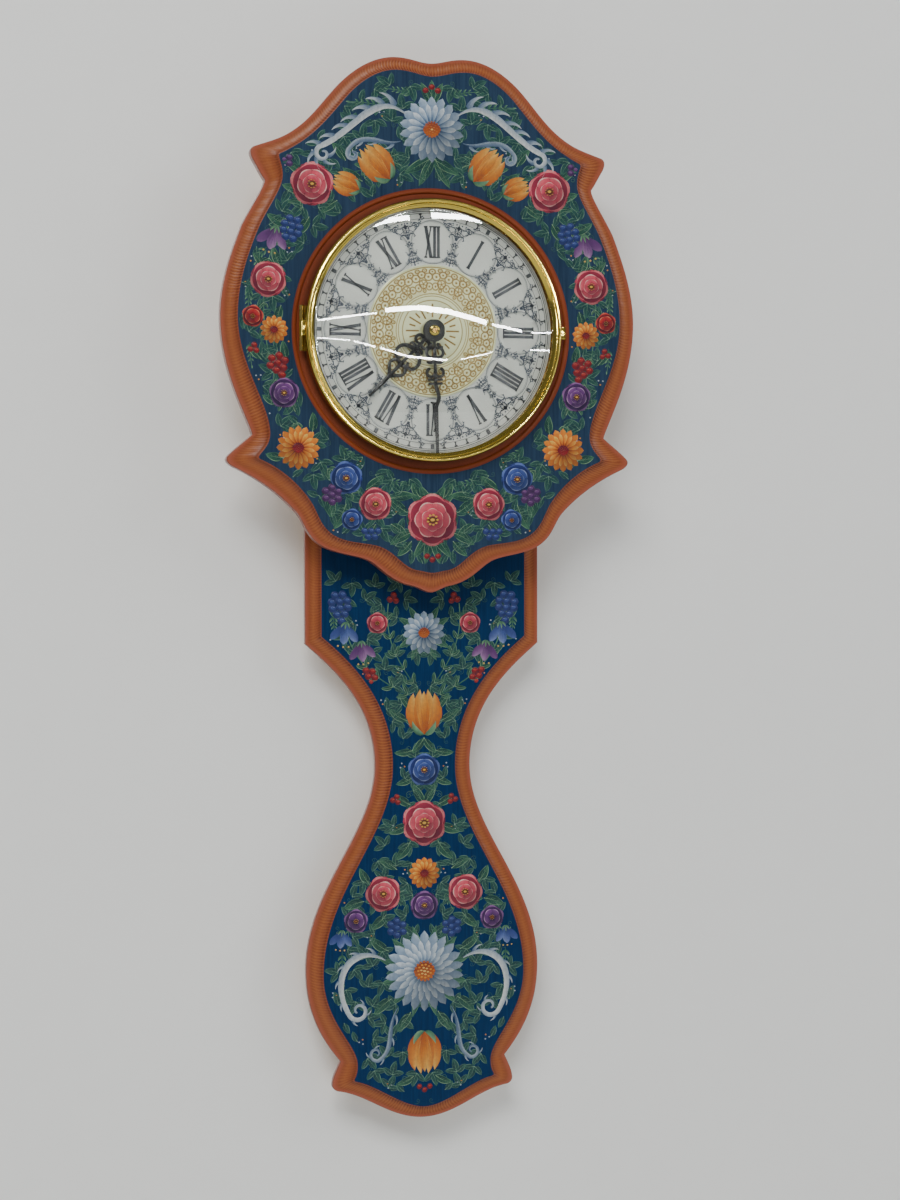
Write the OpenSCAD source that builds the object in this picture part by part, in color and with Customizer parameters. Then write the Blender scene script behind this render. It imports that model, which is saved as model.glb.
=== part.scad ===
// Wall clock with a painted wooden head, a hinged brass bezel and a swinging painted pendulum board.
// Millimetres. +X to the right, +Y into the wall, +Z up. The origin is the hanger's hole at the wall.

/* [Head board] */
// Width of the head board across its widest bow
head_w = 300; // [294:1:330]
// Thickness of the head board
head_t = 12.7; // [11:0.1:15]
// Depth that the routed cove drops below the face at its outer lip
cove_d = 4.2; // [3:0.1:6]
// Thickness of the square nosing left between the cove and the side
nosing_t = 0.9; // [0.5:0.1:1.5]
// Flat ring of board left between the bezel and the rounded lip round it
lip_gap = 4.3; // [3.5:0.1:7]
// Width of that rounded lip
lip_roll = 3.6; // [2.5:0.1:5]

/* [Pendulum] */
// Width of the pendulum board at its square shoulders
pend_w = 171; // [165:1:184]
// Length of the pendulum board from its straight top to its foot
pend_l = 456.4; // [430:0.1:480]
// Thickness of the pendulum board
pend_t = 9.5; // [8:0.1:11]
// Air gap between the head board's back and the pendulum board's face
pend_gap = 13.9; // [12:0.1:15]
// Width of the metal strap that carries the pendulum board
strap_w = 10; // [8:0.5:14]
// Thickness of that strap
strap_t = 1.5; // [1:0.1:2]
// How far the strap laps over the board's face
strap_lap = 30; // [26:1:36]

/* [Case rails] */
// Thickness of the side rails
rail_t = 12; // [11:0.5:15]
// Depth of the rails from the head board to the wall pads
rail_d = 38.1; // [34:0.1:42]
// Height of the top rail
top_rail_h = 24; // [23:0.5:28]
// Outside width of the rails
case_w = 208; // [200:1:212]
// Length of the side rails below the top rail
side_rail_l = 152; // [146:1:156]
// Thickness of the felt pads
pad_t = 1.5; // [1:0.1:2.5]
// Radius of the felt pads
pad_r = 5; // [4:0.1:5.5]

/* [Hanger] */
// Height of the hanger's hole above the dial's centre
hang_rise = 100; // [99:0.1:101]
// Radius of the hanger's entry hole
key_r = 4.5; // [4:0.1:5]
// Half the width of the hanger's slot
key_slot_r = 2.3; // [1.8:0.1:2.6]
// Length of the slot above the entry hole
key_slot_l = 9; // [7:0.1:10]
// Width of the hanger plate
plate_w = 46; // [42:1:52]
// Height of the hanger plate
plate_h = 22; // [21:0.5:23]

/* [Dial] */
// Room between the printed dial plate and the wall of its pan
dial_gap = 2.6; // [1:0.1:4]
// Thickness of the dial plate
dial_t = 0.6; // [0.4:0.1:0.8]
// Radius of the embossed centre disc
centre_r = 46.6; // [44:0.1:48]
// Thickness of the embossed centre disc
centre_t = 0.5; // [0.4:0.1:0.8]
// Room between the dial pan and the bezel's skirt
skirt_gap = 0.5; // [0.3:0.1:0.8]
// Thickness of the dial pan's sheet
pan_t = 0.8; // [0.6:0.1:1]
// Height of the pan's wall above the face of the board
pan_rise = 4.9; // [4.5:0.1:5]

/* [Bezel and glass] */
// Outside radius of the bezel
bezel_r = 92.7; // [92.5:0.1:93.2]
// Width of the bezel's rim from outside to inside
bezel_w = 6.5; // [5.8:0.1:7.6]
// Width of the bezel's skirt outside the dial pan
skirt_w = 2.2; // [2:0.1:2.6]
// Height of the bezel above the face of the board
bezel_top = 10.9; // [10.4:0.1:12]
// Rise of the convex glass at its middle
glass_rise = 9; // [7:0.1:11]
// Thickness of the glass
glass_t = 1.6; // [1.4:0.1:1.8]
// Length of the bezel's hinge
hinge_l = 32; // [28:0.5:36]
// Radius of the hinge pin
hinge_pin_r = 0.8; // [0.6:0.05:0.9]
// Radius of the hinge knuckles
knuckle_r = 1.7; // [1.6:0.05:1.75]
// Height of the lift tab
tab_h = 8.7; // [7:0.1:11]
// How far the lift tab stands out
tab_out = 3.6; // [3:0.1:5]

/* [Hands] */
// Length of the minute hand from its centre
minute_l = 86; // [82:0.5:88]
// Length of the hour hand from its centre
hour_l = 66; // [60:0.5:70]
// Thickness of the hands
hand_t = 0.6; // [0.4:0.1:0.8]
// Radius of the hands' round hubs
hub_r = 7.7; // [6.5:0.1:8.5]
// Radius of the brass hand nut
nut_r = 3.9; // [3.4:0.1:4.4]

/* [Movement] */
// Width and height of the movement's upper box
mov_w = 56; // [55:0.5:57]
// Wall thickness of the movement's mouldings
mov_wall = 1.6; // [1.4:0.1:1.8]
// Thickness of the movement's rear cover
cover_t = 1.2; // [1:0.1:1.5]
// Radius of the threaded bush through the dial
bush_r = 5; // [4.5:0.1:5.3]
// Width of the lower box that holds the pendulum drive
drive_w = 40; // [38:0.5:42]
// Height of that lower box
drive_h = 34; // [33:0.5:36]
// Radius of the battery
battery_r = 7.15; // [6.9:0.05:7.2]
// Radius of the setting knob
knob_r = 8; // [7:0.1:9]
// Tooth module of the cannon pinion and the minute wheel
gear_m = 0.5; // [0.48:0.01:0.5]

/* [Hidden] */
$fn = 96;
eps = 0.01;
run = 0.05;                     // radial clearance of a running fit
gap = 0.3;                      // clearance between pieces that pass each other

drawn_head_w = 300;             // width at which the head's outline is drawn
drawn_pend_w = 171;             // width at which the pendulum's outline is drawn
drawn_pend_l = 456.4;           // and its length
face_y = pad_t + rail_d + head_t;
rebate_d = pan_t + dial_t + 0.2;        // the dial's print lies just below the board's face
dial_h = -rebate_d + pan_t + dial_t;
centre_h = dial_h + centre_t;

// Outline of half the head board, from the top centre clockwise: handle, handle, end point, steps
head_outer = path([0, 189.4], [
    [[8, 189.4], [14, 192.9], [25, 192.9], 5],
    [[40, 192.9], [55, 184], [67, 171], 6],
    [[79, 158], [86, 146], [102, 136.3], 6],
    [[109, 132], [118, 129.5], [125, 127], 3],
    [[128.6, 125.6], [129, 121], [127, 117.5], 4],
    [[124, 112.5], [121.5, 107.5], [118.6, 103.5], 3],
    [[118.4, 98], [130.5, 81], [135, 70.9], 6],
    [[143.2, 49.9], [150, 30], [150, 8], 7],
    [[150, -30], [131, -62], [127.6, -74], 8],
    [[132, -78], [139, -83], [144, -88], 4],
    [[146.6, -90.6], [144.6, -94.6], [141, -96.6], 4],
    [[125, -104], [110, -113.5], [97, -127.5], 6],
    [[91, -134], [90.5, -143], [80, -150.5], 5],
    [[70, -157], [56, -157.5], [46, -161.2], 5],
    [[37, -165], [31, -176], [14, -179.5], 5],
    [[8, -180.6], [4, -184.2], [0, -184.2], 3]]);
head_inner = path([0, 179.6], [
    [[8, 179.6], [14, 183.4], [25, 183.4], 5],
    [[37, 183.4], [50, 176], [61, 163.5], 6],
    [[73, 149.5], [82, 137.5], [97, 128.2], 6],
    [[100, 126.4], [104, 124], [106.5, 122.8], 3],
    [[108.2, 122], [110.4, 121], [109.6, 118.6], 4],
    [[108.6, 115.4], [107.2, 112], [107, 107], 3],
    [[106.6, 97], [119, 82], [124.8, 67.5], 6],
    [[133, 47.5], [138.8, 29], [138.8, 8], 7],
    [[138.8, -25], [117.4, -52], [116.2, -72], 8],
    [[115.8, -80], [120.6, -84.4], [123.4, -87.8], 4],
    [[125, -89.6], [124.6, -91], [122.6, -91.8], 4],
    [[110, -97], [97, -107], [87.5, -120.5], 6],
    [[82.5, -127.5], [81.5, -137], [72, -143.6], 5],
    [[63, -149.6], [51, -149.2], [41, -151.4], 5],
    [[27, -154.5], [22, -167.6], [10, -169], 5],
    [[6, -169.6], [3, -170.8], [0, -170.8], 3]]);

// Outline of half the pendulum board, from its top corner clockwise
pend_top = -104;
pend_outer = path([85.5, pend_top], [
    [[85.5, -143], [85.5, -182], [85.5, -220.6], 2],
    [[67, -237], [34.8, -262], [34.8, -308], 12],
    [[34.8, -356], [85.2, -394], [85.2, -453], 14],
    [[85.2, -486], [70.5, -506], [60.4, -518], 6],
    [[63, -524], [65.6, -528], [66.2, -533.5], 3],
    [[66.8, -537], [64.4, -539.2], [61, -539.6], 3],
    [[40, -543], [24, -560.4], [0, -560.4], 8]]);
pend_inner = path([74.8, pend_top - 10.6], [
    [[74.8, -150], [74.8, -185], [74.8, -215.6], 2],
    [[53, -234], [23.2, -262], [23.2, -308], 12],
    [[23.2, -358], [73.8, -396], [73.8, -456], 14],
    [[73.8, -488], [49.6, -506], [49.2, -520], 6],
    [[49.1, -524], [49.8, -527], [51, -529.4], 3],
    [[52.2, -531.4], [51.6, -532.2], [49.6, -532.6], 3],
    [[34, -536], [16, -552.2], [0, -552.2], 8]]);

pend_h = -head_t - pend_gap;    // height of the pendulum board's face, behind the head's face
strap_h = pend_h + strap_t;
strap_end_z = pend_top - strap_lap;
strap_screw_z = [pend_top - 8, pend_top - strap_lap + 8];
strap_screw_r = 1.4;
strap_screw_l = 7.5;

// Movement: heights below the face, places from the dial's centre
washer_t = 1;
mov_h = -rebate_d - washer_t;
mov_cavity_h = mov_h - mov_wall;
mov_back_h = mov_h - 19.8;
cover_h = mov_back_h - cover_t;
mov_hole_w = mov_w + 4;
drive_h0 = -head_t - 0.5;       // the lower box begins just behind the head board
drive_z = -mov_w / 2 - drive_h;
pivot_z = -mov_w / 2 - 6;
pivot_pin_r = 0.8;
arm_t = 1.2;
arm_h = mov_back_h + 2.2;       // back face of the pendulum arm
arm_w = 4.8;
hook_z = drive_z - 4.5;
hook_r = 1.2;
swing_max = 3;
magnet_z = -48;
magnet_r = 4;
magnet_t = 1.1;
coil_z = magnet_z;

cannon_n = 12;
minute_wheel_n = 36;
minute_pinion_n = 10;
hour_wheel_n = 40;
motion_c = gear_m * (cannon_n + minute_wheel_n) / 2;
hour_m = 2 * motion_c / (minute_pinion_n + hour_wheel_n);
minute_wheel_a = 30;
minute_wheel_at = motion_c * [cos(minute_wheel_a), sin(minute_wheel_a)];
train_m = 0.3;
centre_wheel_n = 60;
third_pinion_n = 8;
third_wheel_n = 48;
third_c = train_m * (centre_wheel_n + third_pinion_n) / 2;
third_a = 150;
third_at = third_c * [cos(third_a), sin(third_a)];
arbor_r = 1.6;
hour_tube_r = 2.5;
pivot_r = 0.6;
shaft_r = 1;
hour_wheel_h = mov_cavity_h - 1;
cannon_h = hour_wheel_h - 1.8;
centre_wheel_h = cannon_h - 5;
third_wheel_h = centre_wheel_h - 2.5;
plate_front_h = mov_cavity_h - 12.8;
train_plate_t = 1.2;
hour_hand_h = centre_h + 3.1;
minute_hand_h = hour_hand_h + hand_t + 1.6;
minute_angle = 178.5;           // clockwise from twelve, as the photographed time
hour_angle = 224.75;

battery_l = 49.2;
battery_z = -mov_w / 2 + mov_wall + battery_r + 0.35;
battery_h = mov_cavity_h - battery_r - 0.3;
bay_wall_z = battery_z + battery_r + 0.3;
bay_half = mov_w / 2 - mov_wall;

case_top_z = 116;
case_side_z = case_top_z - top_rail_h - side_rail_l;
rail_h = -head_t - rail_d;
case_screw_r = 2;
case_screw_head_r = 3.6;
case_screw_l = 26;
case_screw_bite = 8;
side_screw_z = [60, -40];
top_screw_x = 62;
screw_sink = rail_d + case_screw_bite - case_screw_l;

knuckle_x = bezel_r + knuckle_r + 0.1;
hinge_h = 4.5;
knuckle_third = hinge_l / 3;
glass_seat_h = 8;
retainer_t = 1;
bezel_in_r = bezel_r - bezel_w;     // inside radius of the bezel's rim
skirt_in_r = bezel_r - skirt_w;
pan_r = skirt_in_r - skirt_gap;     // outside radius of the dial pan
dial_r = pan_r - pan_t - dial_gap;  // radius of the printed dial plate
lip_r = bezel_r + lip_gap + lip_roll;   // radius where the painted lip round the dial begins

// Curves
function bez(a, b, c, d, n) = [for (i = [1:n]) let (t = i / n, u = 1 - t)
    u * u * u * a + 3 * u * u * t * b + 3 * u * t * t * c + t * t * t * d];
function path(start, legs) = concat([start], [for (k = [0:len(legs) - 1])
    each bez(k == 0 ? start : legs[k - 1][2], legs[k][0], legs[k][1], legs[k][2], legs[k][3])]);
function widen(half, f) = [for (p = half) [p[0] * f, p[1]]];
function lengthen(half, f, top) = [for (p = half) [p[0], top + (p[1] - top) * f]];
function closed(half) = concat(half, [for (i = [len(half) - 2:-1:half[0][0] == 0 ? 1 : 0])
    [-half[i][0], half[i][1]]]);
function arc(r, a0, a1, n) = [for (i = [0:n]) let (a = a0 + (a1 - a0) * i / n) r * [cos(a), sin(a)]];

// Puts a shape drawn on the dial's plane at height h above the face of the head board
module dial(h = 0) {
    translate([0, -(face_y + h), -hang_rise]) rotate([90, 0, 0]) children();
}

module disc(r, t, at = [0, 0]) {
    translate([at[0], at[1], 0]) cylinder(r = r, h = t);
}

// A flat block between two corners on the dial's plane, t thick towards the viewer
module slab(x0, y0, x1, y1, t) {
    translate([x0, y0, 0]) cube([x1 - x0, y1 - y0, t]);
}

// Board with a routed cove all round: the outline runs from the outer lip to the face's own edge,
// so the cove keeps its mitred corners where the outline turns sharply
cove_steps = [0.03, 0.14, 0.4, 0.64, 0.84, 0.96, 1];
function cove_drop(s) = s <= 0.14 ? 1 : sqrt(max(0, 1 - pow((s - 0.14) / 0.86, 2)));
module moulded_board(outer, inner, t, straight_top = false) {
    n = len(outer);
    rings = concat([[0, -t], [0, -cove_d - nosing_t]], [for (s = cove_steps) [s, -cove_d * cove_drop(s)]]);
    m = len(rings);
    points = [for (ring = rings, i = [0:n - 1])
        let (p = outer[i] + (inner[i] - outer[i]) * ring[0]) [p[0], p[1], ring[1]]];
    sides = [for (k = [0:m - 2], i = [0:n - 1]) let (j = (i + 1) % n)
        each [[k * n + i, k * n + j, (k + 1) * n + j], [k * n + i, (k + 1) * n + j, (k + 1) * n + i]]];
    back = [for (f = cap(outer, straight_top)) [f[0], f[2], f[1]]];
    front = [for (f = cap(inner, straight_top)) [for (v = f) (m - 1) * n + v]];
    polyhedron(points = points, faces = concat(sides, back, front), convexity = 6);
}

// Triangles over a mirrored outline: strips between mirrored points. A top that dips in the middle gets
// a fan over each hump first; a straight top starts at its corner.
function cap(ring, straight_top) =
    let (n = len(ring), last = straight_top ? n - 1 : n,
        k = straight_top ? 0 : min([for (i = [1:n - 1]) if (ring[i][1] < ring[0][1]) i]))
    concat(
        k == 0 ? [] : [[0, k, n - k]],
        k < 2 ? [] : [for (i = [0:k - 2]) each [[i, i + 1, k], [n - k, n - i - 1, (n - i) % n]]],
        [for (i = [k:floor(last / 2) - 1]) let (a = i, b = i + 1, c = last - i, d = last - i - 1)
            each (b == d ? [[a, b, c]] : [[a, b, c], [b, d, c]])]);

// Wood screw along the height: head at the bottom, point at the top
module screw(r, l, head_r, head_t) {
    cylinder(r1 = head_r, r2 = r, h = head_t);
    cylinder(r = r, h = l - r);
    translate([0, 0, l - r]) cylinder(r1 = r, r2 = 0.2, h = r);
}

// Spur wheel: trapezoid teeth with plenty of backlash, tooth 0 pointing along angle a
module spur(n, m, t, a = 0) {
    pitch = 360 / n;
    root = m * (n / 2 - 1.1);
    tip = m * (n / 2 + 0.85);
    linear_extrude(t) polygon([for (i = [0:n - 1]) let (c = a + i * pitch) each [
        root * [cos(c - 0.28 * pitch), sin(c - 0.28 * pitch)],
        tip * [cos(c - 0.11 * pitch), sin(c - 0.11 * pitch)],
        tip * [cos(c + 0.11 * pitch), sin(c + 0.11 * pitch)],
        root * [cos(c + 0.28 * pitch), sin(c + 0.28 * pitch)]]]);
}

module head_board() {
    outer = closed(widen(head_outer, head_w / drawn_head_w));
    inner = closed(widen(head_inner, head_w / drawn_head_w));
    flat_r = lip_r - lip_roll;
    color("midnightblue") dial() difference() {
        moulded_board(outer, inner, head_t);
        rotate_extrude() polygon(concat([[0, 1], [0, -rebate_d], [flat_r, -rebate_d]],
            [for (i = [1:6]) let (a = 90 * i / 6)
                [flat_r + lip_roll * (1 - cos(a)), -rebate_d + rebate_d * sin(a)]], [[lip_r, 1]]));
        translate([-mov_hole_w / 2, -mov_hole_w / 2, -head_t - 1]) cube([mov_hole_w, mov_hole_w, head_t + 3]);
        for (a = pan_screw_a) translate([pan_screw_ring * cos(a), pan_screw_ring * sin(a), -head_t + 2])
            cylinder(r = pan_screw_r + run, h = head_t, $fn = 32);
        case_screw_places() translate([0, 0, -head_t - 1])
            cylinder(r = case_screw_r + run, h = 1 + case_screw_bite + 0.5, $fn = 32);
    }
}

module case_screw_places() {
    for (s = [-1, 1], z = side_screw_z) translate([s * (case_w - rail_t) / 2, z, 0]) children();
    for (s = [-1, 1]) translate([s * top_screw_x, case_top_z - top_rail_h / 2, 0]) children();
}

module rail_screw_holes() {
    case_screw_places() {
        translate([0, 0, -1]) cylinder(r = case_screw_r + run, h = rail_d + 2, $fn = 32);
        translate([0, 0, -1]) cylinder(r = case_screw_head_r + gap, h = screw_sink + 1, $fn = 48);
        translate([0, 0, screw_sink - eps]) cylinder(r1 = case_screw_head_r + run, r2 = case_screw_r + run,
            h = case_screw_r + eps, $fn = 48);
    }
}

module case_side(s) {
    x = s * (case_w - rail_t) / 2;
    color("saddlebrown") dial(rail_h) difference() {
        slab(x - rail_t / 2, case_side_z, x + rail_t / 2, case_top_z - top_rail_h, rail_d);
        rail_screw_holes();
    }
}

module case_top_rail() {
    color("saddlebrown") dial(rail_h) difference() {
        slab(-case_w / 2, case_top_z - top_rail_h, case_w / 2, case_top_z, rail_d);
        rail_screw_holes();
        slab(-key_r - 1.5, hang_rise - key_r - 1.5, key_r + 1.5, hang_rise + key_slot_l + 5, 9);
        for (s = [-1, 1]) disc(hanger_screw_r + run, hanger_screw_l, [s * hanger_screw_x, hang_rise + 4]);
    }
}

module case_screws() {
    color("silver") dial(rail_h) case_screw_places() translate([0, 0, screw_sink])
        screw(case_screw_r, case_screw_l, case_screw_head_r, case_screw_r, $fn = 32);
}

hanger_screw_r = 1.6;
hanger_screw_l = 16;
hanger_screw_x = plate_w / 2 - 6;
module hanger_plate() {
    mid = hang_rise + 4;
    color("silver") dial(rail_h - pad_t) difference() {
        slab(-plate_w / 2, mid - plate_h / 2, plate_w / 2, mid + plate_h / 2, pad_t);
        translate([0, hang_rise, -1]) cylinder(r = key_r, h = pad_t + 2);
        translate([0, 0, -1]) slab(-key_slot_r, hang_rise, key_slot_r, hang_rise + key_slot_l, pad_t + 2);
        translate([0, hang_rise + key_slot_l, -1]) cylinder(r = key_slot_r, h = pad_t + 2);
        for (s = [-1, 1]) translate([s * hanger_screw_x, mid, -eps])
            cylinder(r1 = 2 * hanger_screw_r + eps, r2 = hanger_screw_r + run, h = pad_t + 2 * eps);
    }
}

module hanger_screws() {
    color("silver") dial(rail_h - pad_t) for (s = [-1, 1]) translate([s * hanger_screw_x, hang_rise + 4, 0])
        screw(hanger_screw_r, hanger_screw_l, 2 * hanger_screw_r - run, pad_t, $fn = 32);
}

module wall_pads() {
    x = (case_w - rail_t) / 2;
    color("darkgreen") dial(rail_h - pad_t) for (s = [-1, 1], z = [case_side_z + rail_t, case_top_z - rail_t])
        disc(pad_r, pad_t, [s * x, z]);
}

pan_screw_a = [90, 210, 330];
pan_screw_ring = 72;
pan_screw_r = 1.5;
module dial_pan() {
    leaf_h = hinge_h - knuckle_r - 1;
    color("goldenrod") dial() difference() {
        union() {
            rotate_extrude($fn = 144) polygon([[0, -rebate_d], [pan_r, -rebate_d], [pan_r, pan_rise],
                [pan_r - pan_t, pan_rise], [pan_r - pan_t, -rebate_d + pan_t], [0, -rebate_d + pan_t]]);
            for (s = [-1, 1]) hinge_leaf(s * knuckle_third - knuckle_third / 2 + gap / 2, leaf_h);
        }
        disc_hole(bush_r + 0.2);
        for (a = pan_screw_a) translate([pan_screw_ring * cos(a), pan_screw_ring * sin(a), -rebate_d - eps])
            cylinder(r1 = pan_screw_r + run, r2 = 2 * pan_screw_r + run, h = pan_t + 2 * eps, $fn = 32);
        hinge_bore(hinge_pin_r);
    }
}

module disc_hole(r) {
    translate([0, 0, -20]) cylinder(r = r, h = 40);
}

// Knuckle and leaf of the pan's side of the hinge, from y0 upwards
module hinge_leaf(y0, leaf_h) {
    l = knuckle_third - gap;
    translate([-knuckle_x, y0, hinge_h]) rotate([-90, 0, 0]) cylinder(r = knuckle_r, h = l, $fn = 48);
    translate([-knuckle_x, y0, leaf_h]) cube([knuckle_r, l, hinge_h - leaf_h]);
    translate([-knuckle_x, y0, leaf_h]) cube([knuckle_x - sqrt(pan_r * pan_r - hinge_l * hinge_l / 4) + pan_t, l, 1]);
}

module hinge_bore(r) {
    translate([-knuckle_x, -hinge_l, hinge_h]) rotate([-90, 0, 0]) cylinder(r = r, h = 2 * hinge_l, $fn = 48);
}

module pan_screws() {
    color("goldenrod") dial(-rebate_d + pan_t) for (a = pan_screw_a)
        translate([pan_screw_ring * cos(a), pan_screw_ring * sin(a), 0]) mirror([0, 0, 1])
            screw(pan_screw_r, 8, 2 * pan_screw_r - 2 * run, pan_t, $fn = 32);
}

module dial_plate() {
    color("whitesmoke") dial(dial_h - dial_t) difference() {
        cylinder(r = dial_r, h = dial_t, $fn = 144);
        disc_hole(bush_r + 0.2);
    }
}

module dial_centre() {
    color("gold") dial(dial_h) difference() {
        rotate_extrude($fn = 144) polygon(concat([[0, 0], [centre_r, 0], [centre_r, centre_t * 0.5]],
            [for (i = [0:12]) let (a = 180 * i / 12) [centre_r - 0.6 - 2.4 * i / 12, centre_t * (0.5 + 0.5 * sin(a))]],
            [[centre_r - 18, centre_t * 0.5], [centre_r - 18.6, centre_t], [centre_r - 19.4, centre_t],
                [centre_r - 20, centre_t * 0.5], [12, centre_t * 0.5], [10, centre_t], [0, centre_t]]));
        disc_hole(bush_r + 0.2);
    }
}

module hinge_pin() {
    color("gold") dial() translate([-knuckle_x, -hinge_l / 2 + gap, hinge_h]) rotate([-90, 0, 0])
        cylinder(r = hinge_pin_r - run / 2, h = hinge_l - 2 * gap, $fn = 48);
}

module bezel_ring() {
    seat_r = pan_r - 1;
    color("gold") dial() difference() {
        union() {
            rotate_extrude($fn = 144) polygon([[bezel_in_r, glass_seat_h], [seat_r, glass_seat_h],
                [seat_r, pan_rise + gap], [skirt_in_r, pan_rise + gap], [skirt_in_r, 3.4],
                [bezel_r - 0.7, 3.4], [bezel_r, 4.1], [bezel_r, 7.6], [bezel_r - 0.35, 9],
                [bezel_r - 1.1, bezel_top - 0.7], [bezel_r - 2.3, bezel_top - 0.1],
                [bezel_r - 3.4, bezel_top], [bezel_r - 4.6, bezel_top - 0.7],
                [bezel_in_r + 0.7, glass_seat_h + 1.2], [bezel_in_r, glass_seat_h + 0.6]]);
            translate([-knuckle_x, -knuckle_third / 2 + gap / 2, hinge_h]) {
                rotate([-90, 0, 0]) cylinder(r = knuckle_r, h = knuckle_third - gap, $fn = 48);
                cube([knuckle_x - bezel_r + 0.6, knuckle_third - gap, knuckle_r]);
            }
            translate([bezel_r - 0.6, -tab_h / 2, 4.3]) cube([tab_out + 0.6, tab_h, 1.2]);
        }
        hinge_bore(hinge_pin_r + run / 2);
    }
}

module bezel_glass() {
    rim_r = pan_r - 1.05;
    r0 = (bezel_in_r * bezel_in_r + glass_rise * glass_rise) / (2 * glass_rise);
    top = glass_seat_h + glass_rise;
    steps = 16;
    color("lightcyan", 0.3) dial() rotate_extrude($fn = 144) polygon(concat(
        [for (i = [0:steps]) let (r = bezel_in_r * i / steps) [r, top - r0 + sqrt(r0 * r0 - r * r)]],
        [[rim_r, glass_seat_h], [rim_r, glass_seat_h - glass_t]],
        [for (i = [steps:-1:0]) let (r = bezel_in_r * i / steps) [r, top - glass_t - r0 + sqrt(r0 * r0 - r * r)]]));
}

module glass_retainer() {
    color("gold") dial(glass_seat_h - glass_t - retainer_t) difference() {
        cylinder(r = pan_r - 1.05, h = retainer_t, $fn = 144);
        translate([0, 0, -1]) cylinder(r = bezel_in_r + 0.8, h = retainer_t + 2, $fn = 144);
    }
}

module movement_case() {
    w = mov_w / 2;
    post_h = mov_back_h;
    color("dimgray") dial() difference() {
        union() {
            difference() {
                union() {
                    translate([0, 0, mov_back_h]) slab(-w, -w, w, w, mov_h - mov_back_h);
                    translate([0, 0, mov_back_h]) slab(-drive_w / 2, drive_z, drive_w / 2, -w + eps, drive_h0 - mov_back_h);
                }
                translate([0, 0, mov_back_h - 1])
                    slab(-bay_half, -bay_half, bay_half, bay_half, mov_cavity_h - mov_back_h + 1);
                translate([0, 0, mov_back_h - 1]) slab(-drive_w / 2 + mov_wall, drive_z + mov_wall,
                    drive_w / 2 - mov_wall, -w, drive_h0 - mov_wall - mov_back_h + 1);
            }
            // Wall of the battery bay, bosses for the arbors, posts for the screws
            translate([0, 0, mov_back_h]) slab(-bay_half, bay_wall_z, bay_half, bay_wall_z + 0.8,
                mov_cavity_h - mov_back_h);
            boss(minute_wheel_at, 1.6, mov_cavity_h, pivot_boss_l);
            for (s = [-1, 1]) {
                boss([s * cover_post[0], cover_post[1]], 2, mov_cavity_h, mov_cavity_h - post_h);
                boss([s * drive_post[0], drive_post[1]], 2, drive_h0 - mov_wall, drive_h0 - mov_wall - post_h);
                boss([s * board_post[0], board_post[1]], 1.6, mov_cavity_h, mov_cavity_h - board_h);
                boss([s * plate_post[0], plate_post[1]], plate_post_r, mov_cavity_h, mov_cavity_h - plate_front_h);
                boss([s * plate_post[0], plate_post[1]], plate_post_r + 0.6, mov_cavity_h,
                    mov_cavity_h - inner_plate_h);
            }
            boss([0, pivot_z], 2, drive_h0 - mov_wall, drive_h0 - mov_wall - arm_h - arm_t - gap);
            // Threaded bush through the dial
            translate([0, 0, mov_h]) cylinder(r = bush_r, h = centre_h + 2.8 - mov_h);
        }
        translate([0, 0, mov_cavity_h - eps]) cylinder(r = hour_tube_r + run, h = 20, $fn = 64);
        boss_bore(minute_wheel_at, pivot_r + run, mov_cavity_h + pivot_sink + 0.1, pivot_boss_l + pivot_sink + 0.1);
        for (s = [-1, 1]) {
            boss_bore([s * cover_post[0], cover_post[1]], cover_screw_r + run, post_h + 7, 8);
            boss_bore([s * drive_post[0], drive_post[1]], cover_screw_r + run, post_h + 6, 7);
        }
        boss_bore([0, pivot_z], pivot_pin_r + run / 2, drive_h0 - mov_wall, 6);
        // Slot in the floor of the lower box for the pendulum arm
        translate([0, 0, arm_h - 1]) slab(-arm_slot_w / 2, drive_z - 1, arm_slot_w / 2, drive_z + mov_wall + 1,
            arm_t + 2);
    }
}

post_inset = 1.7;                       // post centres stand this far inside the case's walls
cover_post = [mov_w / 2 - mov_wall - post_inset, mov_w / 2 - mov_wall - post_inset];
drive_post = [drive_w / 2 - mov_wall - post_inset, drive_z + mov_wall + post_inset];
board_post = [17, 22];
plate_post = [22, 0];
plate_post_r = 1.6;
inner_plate_h = cannon_h - 2.8;         // front face of the plate that carries the third wheel
inner_plate_t = 0.8;
pivot_boss_l = 0.6;
pivot_sink = 0.3;                       // how far a pivot enters the case's own wall
board_h = mov_cavity_h - 4.4;           // front face of the circuit board
board_t = 1;
cover_screw_r = 1;
arm_reach = pivot_z - drive_z;
arm_slot_w = arm_w + 2 * arm_reach * sin(swing_max) + 1.6;

module boss(at, r, h, l) {
    translate([at[0], at[1], h - l]) cylinder(r = r, h = l + eps, $fn = 32);
}

module boss_bore(at, r, h, l) {
    translate([at[0], at[1], h - l - eps]) cylinder(r = r, h = l, $fn = 32);
}

module movement_cover() {
    w = mov_w / 2;
    color("black") dial(cover_h) difference() {
        union() {
            slab(-w, -w, w, w, cover_t);
            slab(-drive_w / 2, drive_z, drive_w / 2, -w + eps, cover_t);
        }
        translate([0, 0, -1]) slab(-bay_half, battery_z - battery_r + 0.6, bay_half, battery_z + battery_r - 0.6,
            cover_t + 2);
        translate([0, 0, -1]) cylinder(r = arbor_r + gap, h = cover_t + 2, $fn = 48);
        translate([0, pivot_z, -1]) cylinder(r = pivot_pin_r + run / 2, h = cover_t + 2, $fn = 32);
        for (s = [-1, 1], p = [cover_post, drive_post]) translate([s * p[0], p[1], -1])
            cylinder(r = cover_screw_r + run, h = cover_t + 2, $fn = 32);
    }
}

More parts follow.
